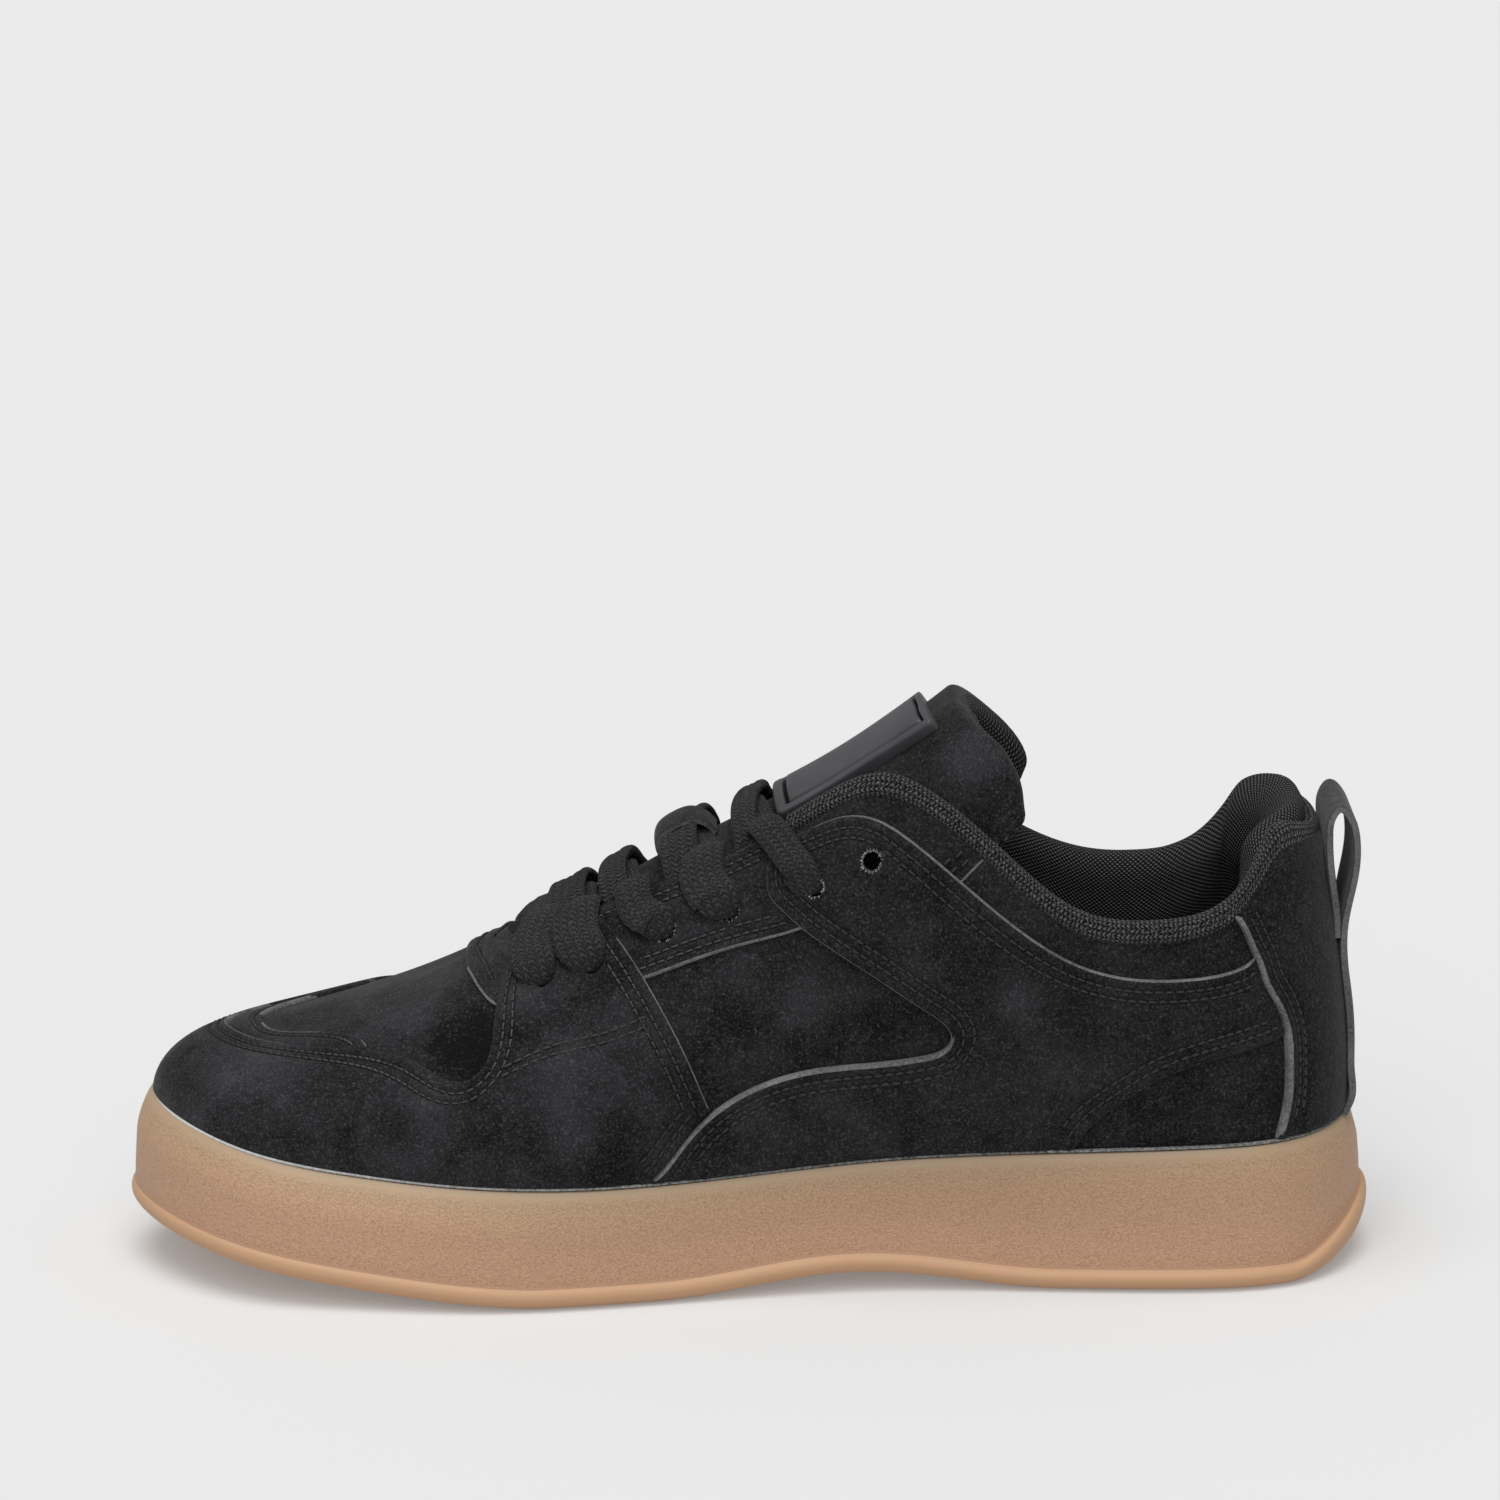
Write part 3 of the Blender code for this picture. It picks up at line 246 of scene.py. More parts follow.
# Free part of the heel strap, from where it leaves the heel to its tucked end: percent of LENGTH and of
# HEEL_HEIGHT, metres that its far edge lies nearer the toe
PULL = named_rows(
    "along up skew",
    (2.45, 76.6, 0.0),
    (2.08, 82.8, 0.0002),
    (1.70, 88.2, 0.0003),
    (1.55, 93.2, 0.0004),
    (1.68, 98.2, 0.0007),
    (2.22, 102.2, 0.0010),
    (2.90, 103.8, 0.0011),
    (3.52, 102.0, 0.0010),
    (3.78, 97.8, 0.0008),
    (3.72, 92.9, 0.0006),
    (3.50, 87.4, 0.0004),
    (3.26, 82.8, 0.0002),
    (3.08, 78.5, 0.0),
    (3.00, 74.2, 0.0),
)

# Laces from the toe up. Lean: eyelet rows toward the toe at the throat's edge. Rise and over: metres of the
# near and the far strand over the tongue. Width in metres.
LACES = named_rows(
    "name lean rise over width",
    ("lace_bar", 0.80, 0.0018, 0.0018, 0.0110),
    ("lace_cross_2", 0.70, 0.0020, 0.0042, 0.0122),
    ("lace_cross_3", 0.70, 0.0018, 0.0040, 0.0092),
    ("lace_cross_4", 0.55, 0.0022, 0.0046, 0.0116),
    ("lace_cross_5", 0.72, 0.0017, 0.0038, 0.0080),
)

# Soft troughs, and one ridge, of the worn-in leather: section number and share up at both ends, metres deep
# and metres to the side
CREASES = named_rows(
    "start end depth half",
    ((13.45, 0.50), (14.30, 0.585), 0.0007, 0.0045),
    ((12.62, 0.34), (12.30, 0.17), 0.0005, 0.0050),
    ((11.80, 0.36), (11.55, 0.20), -0.0003, 0.0050),
    ((8.80, 0.66), (7.80, 0.60), 0.0005, 0.0055),
    ((6.60, 0.60), (5.40, 0.50), 0.0005, 0.0060),
    ((4.60, 0.64), (3.40, 0.60), 0.0004, 0.0050),
    ((1.70, 0.82), (0.80, 0.78), 0.0004, 0.0050),
)

# Arch of the lace keeper along the tongue: metres along the shoe, metres over the tongue
KEEPER = named_rows(
    "x rise",
    (-0.0200, 0.0003),
    (-0.0198, 0.0030),
    (-0.0186, 0.0052),
    (-0.0150, 0.0062),
    (-0.0110, 0.0056),
    (-0.0090, 0.0036),
    (-0.0078, 0.0003),
)


def spline_slopes(knots, values, period=None):
    """Second derivatives of the cubic through the values, closed when a period is given."""
    count = len(knots)
    matrix = np.zeros((count, count))
    right = np.zeros((count,) + values.shape[1:])
    for row in range(count):
        if period is None and row in (0, count - 1):
            matrix[row, row] = 1.0
            continue
        before = knots[row] - knots[row - 1] if row else knots[0] - knots[-1] + period
        after = knots[row + 1] - knots[row] if row < count - 1 else knots[0] - knots[-1] + period
        following = (row + 1) % count
        matrix[row, row - 1] += before
        matrix[row, row] += 2 * (before + after)
        matrix[row, following] += after
        climb = (values[following] - values[row]) / after
        right[row] = 6 * (climb - (values[row] - values[row - 1]) / before)
    return np.linalg.solve(matrix, right)


def spline(knots, values, period=None):
    """A function of position: the smooth cubic through the rows of values."""
    knots = np.asarray(knots, float)
    values = np.asarray(values, float).reshape(len(knots), -1)
    bends = spline_slopes(knots, values, period)
    if period is not None:
        knots = np.append(knots, knots[0] + period)
        values = np.vstack([values, values[:1]])
        bends = np.vstack([bends, bends[:1]])

    def at(where):
        where = np.atleast_1d(np.asarray(where, float))
        where = where % period if period is not None else np.clip(where, knots[0], knots[-1])
        cell = np.clip(np.searchsorted(knots, where, side="right") - 1, 0, len(knots) - 2)
        width = (knots[cell + 1] - knots[cell])[:, None]
        share = (where - knots[cell])[:, None] / width
        rest = 1 - share
        bend = (rest**3 - rest) * bends[cell] + (share**3 - share) * bends[cell + 1]
        return rest * values[cell] + share * values[cell + 1] + bend * width**2 / 6

    return at


def smooth(share):
    """A share from 0 to 1 that starts and stops gently."""
    return share * share * (3 - 2 * share)


def rounded(share):
    """Height of a quarter circle, from 0 at its foot to 1 at its top."""
    return np.sqrt(1 - (1 - share) ** 2)


def polygon(sides):
    """Cosines and sines of a regular polygon's corners."""
    turns = np.arange(sides) * math.tau / sides
    return np.cos(turns), np.sin(turns)


def boxed(wave, power):
    """A sine or cosine drawn toward the corners of a box."""
    return np.sign(wave) * np.abs(wave) ** power


def loop_rows():
    """Foot, top and handle columns in metres, once round the shoe: medial to the toe, lateral back."""
    half = BALL_WIDTH / 200
    rows = []
    for side, order in ((-1, range(LAST + 1)), (1, range(LAST - 1, 0, -1))):
        for index in order:
            row = SECTIONS[index]
            foot = row.foot_medial if side < 0 else row.foot_lateral
            top = row.top_medial if side < 0 else row.top_lateral
            up = row.top_up if side < 0 else row.top_up - row.lateral_down
            rows.append(
                (
                    LENGTH * (0.5 - row.foot_along / 100),
                    side * foot * half,
                    LENGTH * (0.5 - row.top_along / 100),
                    side * top * half,
                    up * HEEL_HEIGHT / 100,
                    row.low_up * HEEL_HEIGHT / 100,
                    row.low_out * HEEL_HEIGHT / 100,
                    row.top_out * HEEL_HEIGHT / 100,
                    row.top_down * HEEL_HEIGHT / 100,
                )
            )
    return np.array(rows)


ROWS = loop_rows()
STEPS = np.linalg.norm(np.roll(ROWS[:, :2], -1, axis=0) - ROWS[:, :2], axis=1)
GIRTH = STEPS.sum()
PLACES = np.append(0.0, np.cumsum(STEPS))
LOOP = spline(PLACES[:-1], ROWS, GIRTH)
RIM_LINE = spline([row.along for row in RIM], [row.height for row in RIM])


def place(station):
    """Distance round the outline of a section number, 0 at the heel, LAST at the toe, lateral beyond it."""
    station = np.asarray(station, float)
    turns = np.floor(station / (2 * LAST))
    return np.interp(station - turns * 2 * LAST, np.arange(2 * LAST + 1), PLACES) + turns * GIRTH


def section_of(where):
    """Section number of a place round the shoe, counted from the heel on either side."""
    station = np.interp(np.asarray(where) % GIRTH, PLACES, np.arange(2 * LAST + 1))
    return np.minimum(station, 2 * LAST - station)


def on_side(station, side):
    """A section number of the medial side, or of the lateral side across from it."""
    return station if side < 0 else 2 * LAST - station


def mirrored(run):
    """The same run on the other side of the shoe, in the opposite order."""
    return tuple((2 * LAST - station, share) for station, share in reversed(run))


def through_heel(run):
    """A run on the other side of the heel, in the opposite order."""
    return tuple((-station, share) for station, share in reversed(run))


def join(first, second, share):
    """A run along one share of the way up that joins two runs, about a point for each half section."""
    start, end = first[-1][0], second[0][0]
    count = max(2, round(2 * abs(end - start)) + 1)
    return tuple((station, share) for station in np.linspace(start, end, count))


def outline(where, inset=0.0):
    """Plan points of the sole's outline moved inward, with the outward directions."""
    step = 0.0005
    ahead = LOOP(np.asarray(where) + step)[:, :2]
    behind = LOOP(np.asarray(where) - step)[:, :2]
    along = ahead - behind
    along /= np.linalg.norm(along, axis=1)[:, None]
    out = np.stack([-along[:, 1], along[:, 0]], axis=1)
    return LOOP(where)[:, :2] - out * np.reshape(inset, (-1, 1)), out


def from_heel(x):
    """Share of LENGTH from the heel's back."""
    return np.clip(0.5 - np.asarray(x) / LENGTH, 0.0, 1.0)


def heel_bevel(x):
    """From 1 at the heel's back to 0 where the sole lies flat."""
    return np.clip(1 - from_heel(x) / BEVEL_START, 0, 1) ** BEVEL_POWER


def ground(x):
    """Height of the sole's underside: heel bevel, arch and toe spring, flat at heel and ball."""
    share = from_heel(x)
    spring = np.clip((share - SPRING_START) / (1 - SPRING_START), 0, 1) ** SPRING_POWER
    arch = np.clip((share - ARCH_START) / (ARCH_END - ARCH_START), 0, 1)
    return TOE_SPRING * spring + ARCH_LIFT * np.sin(math.pi * arch) ** 2 + HEEL_BEVEL * heel_bevel(x)


def rim(x):
    """Height of the cup's rim."""
    return RIM_LINE(100 * from_heel(x))[:, 0] * HEEL_HEIGHT / 100


def handles(where):
    """The four handles of the section curve that rises from the rim to the opening."""
    rows = LOOP(where)
    plan, out = outline(where, UPPER_INSET)
    foot = np.column_stack([plan, rim(plan[:, 0])])
    top = rows[:, 2:5]
    outward = 0.010
    toward = foot[:, :2] - top[:, :2] + outward * out
    toward /= np.linalg.norm(toward, axis=1)[:, None]
    low = foot + np.column_stack([out * rows[:, 6:7], rows[:, 5]])
    high = top + np.column_stack([toward * rows[:, 7:8], -rows[:, 8]])
    return foot, low, high, top


def surface(where, share):
    """Points of the upper's outer face: place round the shoe, share of the way up its section."""
    where = np.atleast_1d(np.asarray(where, float))
    share = np.broadcast_to(np.asarray(share, float), where.shape)[:, None]
    foot, low, high, top = handles(where)
    rest = 1 - share
    return rest**3 * foot + 3 * rest**2 * share * low + 3 * rest * share**2 * high + share**3 * top


def skin(where, share, lift=0.0):
    """Points of the upper's face lifted along its outward normal."""
    where = np.atleast_1d(np.asarray(where, float))
    share = np.broadcast_to(np.asarray(share, float), where.shape)
    round_step = 0.0008
    up_step = 0.008
    across = surface(where + round_step, share) - surface(where - round_step, share)
    upward = surface(where, share + up_step) - surface(where, share - up_step)
    normal = np.cross(upward, across)
    normal /= np.linalg.norm(normal, axis=1)[:, None]
    lift = np.reshape(lift, -1) - crease_depth(where, share)
    return surface(where, share) + normal * lift[:, None]


def crease_depth(where, share):
    """How far the soft creases draw the upper in, all panels with it."""
    flat = np.column_stack([where % GIRTH, share * np.interp(where % GIRTH, RISE_PLACES, RISES)])
    depth = np.zeros(len(flat))
    for crease in CREASES:
        for start, end in ((crease.start, crease.end), mirrored((crease.start, crease.end))):
            away = distance_to(flat, to_chart((start, end)), closed=False)
            depth += crease.depth * np.exp(-((away / crease.half) ** 2))
    return depth


def rise(where):
    """Length of the section curve from rim to opening."""
    samples = 25
    shares = np.linspace(0, 1, samples)
    points = np.stack([surface(where, share) for share in shares])
    return np.linalg.norm(np.diff(points, axis=0), axis=2).sum(axis=0)


def inside_of(spots, loop):
    """True for each spot that lies inside a flat loop."""
    ahead = np.roll(loop, -1, axis=0)
    x, y = spots[:, :1], spots[:, 1:]
    crossing = (loop[:, 1] > y) != (ahead[:, 1] > y)
    climb = np.where(ahead[:, 1] == loop[:, 1], 1e-12, ahead[:, 1] - loop[:, 1])
    at = loop[:, 0] + (y - loop[:, 1]) * (ahead[:, 0] - loop[:, 0]) / climb
    return np.count_nonzero(crossing & (x < at), axis=1) % 2 == 1


def distance_to(spots, line, closed=True):
    """Distance from each spot to the nearest edge of a line or loop."""
    start = line if closed else line[:-1]
    run = np.roll(line, -1, axis=0) - line if closed else np.diff(line, axis=0)
    length = np.maximum((run**2).sum(axis=1), 1e-16)
    nearest = []
    for few in np.array_split(spots, max(1, len(spots) // CHUNK)):
        away = few[:, None] - start
        share = np.clip((away * run).sum(axis=2) / length, 0, 1)
        nearest.append(np.linalg.norm(away - run * share[:, :, None], axis=2).min(axis=1))
    return np.concatenate(nearest)


def triangulate(border, holes, inner):
    """Triangles over border, holes and inner points, inside the border and outside the holes."""
    spots = np.vstack([border, *holes, inner])
    edges = []
    base = len(border)
    for hole in holes:
        edges += [(base + spot, base + (spot + 1) % len(hole)) for spot in range(len(hole))]
        base += len(hole)
    face = [tuple(range(len(border)))]
    made = delaunay_2d_cdt([tuple(spot) for spot in spots], edges, face, 1, 1e-8)
    cells = np.array([cell for cell in made[2] if len(cell) == 3])
    centres = np.array([tuple(spot) for spot in made[0]])[cells].mean(axis=1)
    for hole in holes:
        outside = ~inside_of(centres, hole)
        cells = cells[outside]
        centres = centres[outside]
    return spots, cells


def grid_inside(border, spacing, margin):
    """Points of a square grid inside a loop, no nearer to it than the margin."""
    low = border.min(axis=0) + spacing / 2
    high = border.max(axis=0)
    x, y = np.meshgrid(np.arange(low[0], high[0], spacing), np.arange(low[1], high[1], spacing))
    spots = np.column_stack([x.ravel(), y.ravel()])
    spots = spots[inside_of(spots, border)]
    return spots[distance_to(spots, border) > margin]


def coarse_grid(border):
    """Few points inside a loop, for a face that is hidden."""
    return grid_inside(border, COARSE_STEP, COARSE_STEP / 2)


def add_object(name, data):
    """A new object in the scene."""
    made = bpy.data.objects.new(name, data)
    bpy.context.scene.collection.objects.link(made)
    return made


class Shape:
    """Points, faces, corner UVs and material numbers of one piece, gathered patch by patch."""

    def __init__(self):
        self.points = []
        self.faces = []
        self.corners = []
        self.kinds = []
        self.count = 0

    def cells(self, points, cells, uvs, kinds=0):
        """Adds faces by point number, with a UV for each point and a material number for each face."""
        cells = [tuple(int(spot) for spot in cell) for cell in cells]
        self.points.append(np.asarray(points))
        self.faces += [tuple(spot + self.count for spot in cell) for cell in cells]
        self.corners += [tuple(uvs[spot]) for cell in cells for spot in cell]
        self.kinds += [int(kind) for kind in np.broadcast_to(kinds, len(cells))]
        self.count += len(points)

    def grid(self, points, u, v, kinds=0, wrap_rows=False, wrap_columns=False, turned=False):
        """Adds quads over points[row, column]. u runs along the columns and v along the rows, in metres.

        Turned: the UVs are stored with v first.
        """
        rows, columns = points.shape[:2]
        tall = rows if wrap_rows else rows - 1
        wide = columns if wrap_columns else columns - 1
        row, column = np.divmod(np.arange(tall * wide), wide)
        row = row[:, None] + np.array([0, 0, 1, 1])
        column = column[:, None] + np.array([0, 1, 1, 0])
        numbers = (row % rows) * columns + column % columns + self.count
        self.points.append(points.reshape(-1, 3))
        self.faces += [tuple(cell) for cell in numbers.tolist()]
        lengths = [v[row], u[column]] if turned else [u[column], v[row]]
        self.corners += np.stack(lengths, axis=2).reshape(-1, 2).tolist()
        self.kinds += np.broadcast_to(kinds, (tall, wide)).ravel().tolist()
        self.count += rows * columns

    def make(self, name, finishes, stands_for=(), sharp=48):
        """The piece as an object on the shoe's body, its patches welded and its faces turned outward."""
        mesh = bpy.data.meshes.new(name)
        mesh.from_pydata(np.vstack(self.points).tolist(), [], self.faces)
        layer = mesh.uv_layers.new(name="lengths")
        layer.data.foreach_set("uv", np.array(self.corners, np.float32).ravel())
        mesh.polygons.foreach_set("material_index", np.array(self.kinds, np.int32))
        for finish in finishes:
            mesh.materials.append(finish)
        bm = bmesh.new()
        bm.from_mesh(mesh)
        bmesh.ops.remove_doubles(bm, verts=bm.verts[:], dist=WELD)
        bmesh.ops.recalc_face_normals(bm, faces=bm.faces[:])
        bm.to_mesh(mesh)
        bm.free()
        mesh.polygons.foreach_set("use_smooth", np.ones(len(mesh.polygons), bool))
        mesh.set_sharp_from_angle(angle=math.radians(sharp))
        made = add_object(name, mesh)
        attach(made, "root")
        if stands_for:
            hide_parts(*stands_for)
        return made


def lengths_along(points):
    """Distance travelled at each point of a line."""
    return np.append(0.0, np.cumsum(np.linalg.norm(np.diff(points, axis=0), axis=1)))


def unit(vectors):
    """Vectors of length one."""
    return vectors / np.linalg.norm(vectors, axis=-1, keepdims=True)


def linear(red, green, blue):
    """Scene colour of a display colour given as 0 to 255."""
    shares = np.array([red, green, blue]) / 255
    return (*np.where(shares > 0.04045, ((shares + 0.055) / 1.055) ** 2.4, shares / 12.92), 1.0)


class Finish:
    """A procedural material built on one Principled shader."""

    def __init__(self, name, roughness, specular=0.5, sheen=0.0, sheen_roughness=0.5):
        self.material = bpy.data.materials.new(name)
        self.material.use_nodes = True
        self.tree = self.material.node_tree
        self.shader = self.tree.nodes["Principled BSDF"]
        self.shader.inputs["Roughness"].default_value = roughness
        self.shader.inputs["Specular IOR Level"].default_value = specular
        self.shader.inputs["Sheen Weight"].default_value = sheen
        self.shader.inputs["Sheen Roughness"].default_value = sheen_roughness
        self.places = self.node("TexCoord")
        self.normal = None

    def put(self, value, socket):
        """A number on a socket, or a link from another node."""
        if isinstance(value, bpy.types.NodeSocket):
            self.tree.links.new(value, socket)
        else:
            socket.default_value = value

    def node(self, kind, **inputs):
        """A new node, with numbers or links on its named inputs."""
        made = self.tree.nodes.new("ShaderNode" + kind)
        for name, value in inputs.items():
            self.put(value, made.inputs[name])
        return made

    def noise(self, scale, detail=2.0, roughness=0.5, stretch=None):
        """Noise over the shoe's own metres."""
        source = self.places.outputs["Object"]
        if stretch:
            source = self.node("Mapping", Vector=source, Scale=stretch).outputs["Vector"]
        made = self.node("TexNoise", Vector=source, Scale=scale, Detail=detail, Roughness=roughness)
        return made.outputs["Fac"]

    def maths(self, operation, *values):
        """The result of one sum on numbers or links."""
        made = self.node("Math")
        made.operation = operation
        for value, socket in zip(values, made.inputs):
            self.put(value, socket)
        return made.outputs[0]

    def scaled(self, value, factor, more):
        """A value times a factor, with more added."""
        return self.maths("MULTIPLY_ADD", value, factor, more)

    def centred(self, value):
        """A noise that swings about zero instead of about a half."""
        return self.maths("SUBTRACT", value, 0.5)

    def lengths(self):
        """The piece's own lengths along and across it, from its UVs."""
        made = self.node("SeparateXYZ", Vector=self.places.outputs["UV"])
        return made.outputs[0], made.outputs[1]

    def axis(self, name):
        """The shoe's own X, Y or Z in metres."""
        return self.node("SeparateXYZ", Vector=self.places.outputs["Object"]).outputs[name]

    def nearness(self, centre, radius):
        """From 1 at a place to 0 at a radius round it, with a ragged border."""
        away = self.node("VectorMath")
        away.operation = "DISTANCE"
        self.put(self.places.outputs["Object"], away.inputs[0])
        self.put(centre, away.inputs[1])
        ragged = self.scaled(self.noise(scale=140, detail=2.0, roughness=0.6), 0.9, 0.55)
        apart = self.maths("MULTIPLY", away.outputs["Value"], ragged)
        share = self.node("MapRange", Value=apart)
        share.interpolation_type = "SMOOTHSTEP"
        share.inputs["From Min"].default_value = radius
        share.inputs["From Max"].default_value = 0.0
        return share.outputs["Result"]

    def wave(self, length, pitch):
        """A sine from 0 to 1 along a length."""
        turns = self.maths("MULTIPLY", length, math.tau / pitch)
        return self.scaled(self.maths("SINE", turns), 0.5, 0.5)

    def ramp(self, value, stops):
        """Colours between stops of (value, colour)."""
        made = self.node("ValToRGB", Fac=value)
        while len(made.color_ramp.elements) < len(stops):
            made.color_ramp.elements.new(0.5)
        for element, (place_on, colour) in zip(made.color_ramp.elements, stops):
            element.position = place_on
            element.color = colour
        return made.outputs[0]

    def mix(self, share, first, second, blend="MIX"):
        """Two colours mixed or multiplied by a share."""
        made = self.node("Mix")
        made.data_type = "RGBA"
        made.blend_type = blend
        self.put(share, made.inputs[0])
        self.put(first, made.inputs[6])
        self.put(second, made.inputs[7])
        return made.outputs[2]

    def relief(self, height, distance, strength=1.0):
        """Bump in metres, on top of any given before."""
        made = self.node("Bump", Distance=distance, Strength=strength, Height=height)
        if self.normal is not None:
            self.tree.links.new(self.normal, made.inputs["Normal"])
        self.normal = made.outputs["Normal"]

    def done(self, colour, roughness=None):
        """The finished material, with its colour, roughness and relief joined to the shader."""
        self.put(colour, self.shader.inputs["Base Color"])
        if roughness is not None:
            self.put(roughness, self.shader.inputs["Roughness"])
        if self.normal is not None:
            self.tree.links.new(self.normal, self.shader.inputs["Normal"])
        return self.material


MILLIMETRE = 0.001
# Patches of leather made lighter or darker, partly its own brushed clouds and partly painted light on the
# tops of toe and tongue, placed one by one: millimetres, and how much lighter
CLOUDS_AND_PAINTED_LIGHT = named_rows(
    "x y z radius amount",
    (-114, -28, 51, 15, 0.24),
    (-77, -27, 63, 9, 0.12),
    (-72, -45, 46, 11, 0.20),
    (-39, -41, 56, 13, 0.18),
    (-53, -32, 71, 9, 0.18),
    (-40, -44, 42, 12, 0.20),
    (0, -37, 43, 10, 0.20),
    (12, -36, 68, 10, 0.18),
    (-7, -37, 64, 14, -0.12),
    (33, -37, 67, 14, -0.10),
    (-28, -43, 35, 10, -0.05),
    (62, -37, 70, 9, 0.16),
    (74, -36, 51, 15, 0.14),
    (49, -25, 124, 12, 0.34),
    (-12, -28, 89, 14, 0.12),
)
# Painted shade in the smooth hollow of the vamp beside the throat tab
HOLLOW_PAINTED_SHADE = named_rows("x y z radius amount", (-67, -36, 60, 14, -0.36), (-61, -33, 65, 10, -0.24))


def nubuck(name, dark, light, specked, patches=()):
    """Brushed black leather: soft clouds, short nap and fine bright specks."""
    finish = Finish(name, roughness=0.92, specular=0.12, sheen=0.10, sheen_roughness=0.4)
    toward_toe = finish.scaled(finish.axis("X"), -1.0 / LENGTH, 0.5)
    cloud = finish.noise(scale=58, detail=3.0, roughness=0.55)
    nap = finish.noise(scale=520, detail=2.0, roughness=0.55)
    specks = finish.noise(scale=1700, detail=2.0, roughness=0.7)
    swing = finish.scaled(toward_toe, 0.75, 0.28)
    # Base tone rises toward the toe: partly the leather's own tone, partly painted light from the toe side
    shade = finish.scaled(toward_toe, 0.13, 0.12)
    shade = finish.scaled(finish.centred(cloud), swing, shade)
    shade = finish.scaled(finish.centred(nap), 0.32, shade)
    for patch in patches:
        centre = (MILLIMETRE * patch.x, MILLIMETRE * patch.y, MILLIMETRE * patch.z)
        near = finish.nearness(centre, MILLIMETRE * patch.radius)
        shade = finish.scaled(near, patch.amount, shade)
    bright = finish.maths("POWER", finish.maths("MULTIPLY", specks, 1.55), 6.0)
    shade = finish.scaled(bright, specked, shade)
    finish.relief(nap, distance=0.00020, strength=0.6)
    finish.relief(specks, distance=0.00016, strength=0.9)
    return finish.done(finish.ramp(shade, ((0.10, dark), (1.0, light))))


def cut_edge(name, dark, light):
    """Raw fibrous edge of split leather."""
    finish = Finish(name, roughness=0.95, specular=0.1)
    fibres = finish.noise(scale=1500, detail=3.0, roughness=0.6)
    patches = finish.noise(scale=120, detail=2.0, roughness=0.5)
    shade = finish.scaled(fibres, 0.6, finish.maths("MULTIPLY", patches, 0.4))
    finish.relief(fibres, distance=0.00018)
    return finish.done(finish.ramp(shade, ((0.34, dark), (0.66, light))))


def welt_edge():
    """Raw edge where the upper meets the rim, palest round the toe."""
    finish = Finish("welt_edge", roughness=0.95, specular=0.1)
    fibres = finish.noise(scale=1300, detail=3.0, roughness=0.6)
    along = finish.maths("DIVIDE", finish.axis("X"), -LENGTH / 2)
    toward_toe = finish.maths("POWER", finish.maths("MAXIMUM", along, 0.0), 1.6)
    pale = finish.scaled(toward_toe, 0.62, 0.24)
    shade = finish.scaled(finish.centred(fibres), 0.9, pale)
    finish.relief(fibres, distance=0.00016)
    return finish.done(finish.ramp(shade, ((0.05, WELT_DARK), (0.75, WELT_PALE))))


# Shares of an effect, as the colours that a ramp gives
BLACK = (0, 0, 0, 1)
WHITE = (1, 1, 1, 1)
PALE = (0.85, 0.85, 0.85, 1)
GREY = (0.7, 0.7, 0.7, 1)
DIM = (0.35, 0.35, 0.35, 1)
# Factors on the rubber's colour: between its grains, on them, and painted shade high on the wall behind the
# ball, under the upper's overhang
GRAIN_DARK = (0.80, 0.77, 0.74, 1)
GRAIN_LIGHT = (1.06, 1.06, 1.06, 1)
OVERHANG_SHADE = (0.76, 0.75, 0.73, 1)


def tan_rubber():
    """Moulded gum rubber: grained wall, smooth lip and rim, warmer toward the floor."""
    finish = Finish("tan_rubber", roughness=0.55, specular=0.35)
    _, profile = finish.lengths()
    cloud = finish.noise(scale=30, detail=3.0, roughness=0.6)
    grain = finish.noise(scale=1900, detail=2.0, roughness=0.55)
    pores = finish.noise(scale=5200, detail=1.0, roughness=0.5)
    place_on = finish.scaled(finish.centred(cloud), 0.05, profile)
    colour = finish.ramp(place_on, RUBBER_STOPS)
    mottle = finish.ramp(grain, ((0.30, GRAIN_DARK), (0.62, GRAIN_LIGHT)))
    behind = finish.scaled(finish.axis("X"), 1.0 / LENGTH, 0.5)
    behind = finish.ramp(behind, ((0.22, BLACK), (0.44, GREY), (0.60, WHITE), (0.70, WHITE), (0.95, DIM)))
    high = finish.ramp(profile, ((0.45, BLACK), (0.80, PALE), (0.94, WHITE)))
    # Painted shade high on the wall behind the ball, where the upper overhangs it
    overhang_shaded = finish.mix(1.0, colour, OVERHANG_SHADE, "MULTIPLY")
    colour = finish.mix(finish.maths("MULTIPLY", behind, high), colour, overhang_shaded)
    grained = finish.ramp(profile, ((0.40, BLACK), (0.44, WHITE), (0.86, WHITE), (0.92, BLACK)))
    colour = finish.mix(grained, colour, finish.mix(1.0, colour, mottle, "MULTIPLY"))
    depth = finish.scaled(grained, 0.88, 0.12)
    finish.relief(finish.maths("MULTIPLY", grain, depth), distance=0.00032)
    finish.relief(finish.maths("MULTIPLY", pores, depth), distance=0.00008)
    rough = finish.scaled(grain, 0.30, 0.38)
    return finish.done(colour, rough)


def thread(name, colour):
    """Twisted sewing thread."""
    finish = Finish(name, roughness=0.5, specular=0.5)
    twist = finish.noise(scale=2600, detail=1.0, roughness=0.4, stretch=(1.0, 1.0, 2.2))
    finish.relief(twist, distance=0.0001)
    light = tuple(4.0 * part for part in colour[:3]) + (1.0,)
    return finish.done(finish.ramp(twist, ((0.35, colour), (0.72, light))))


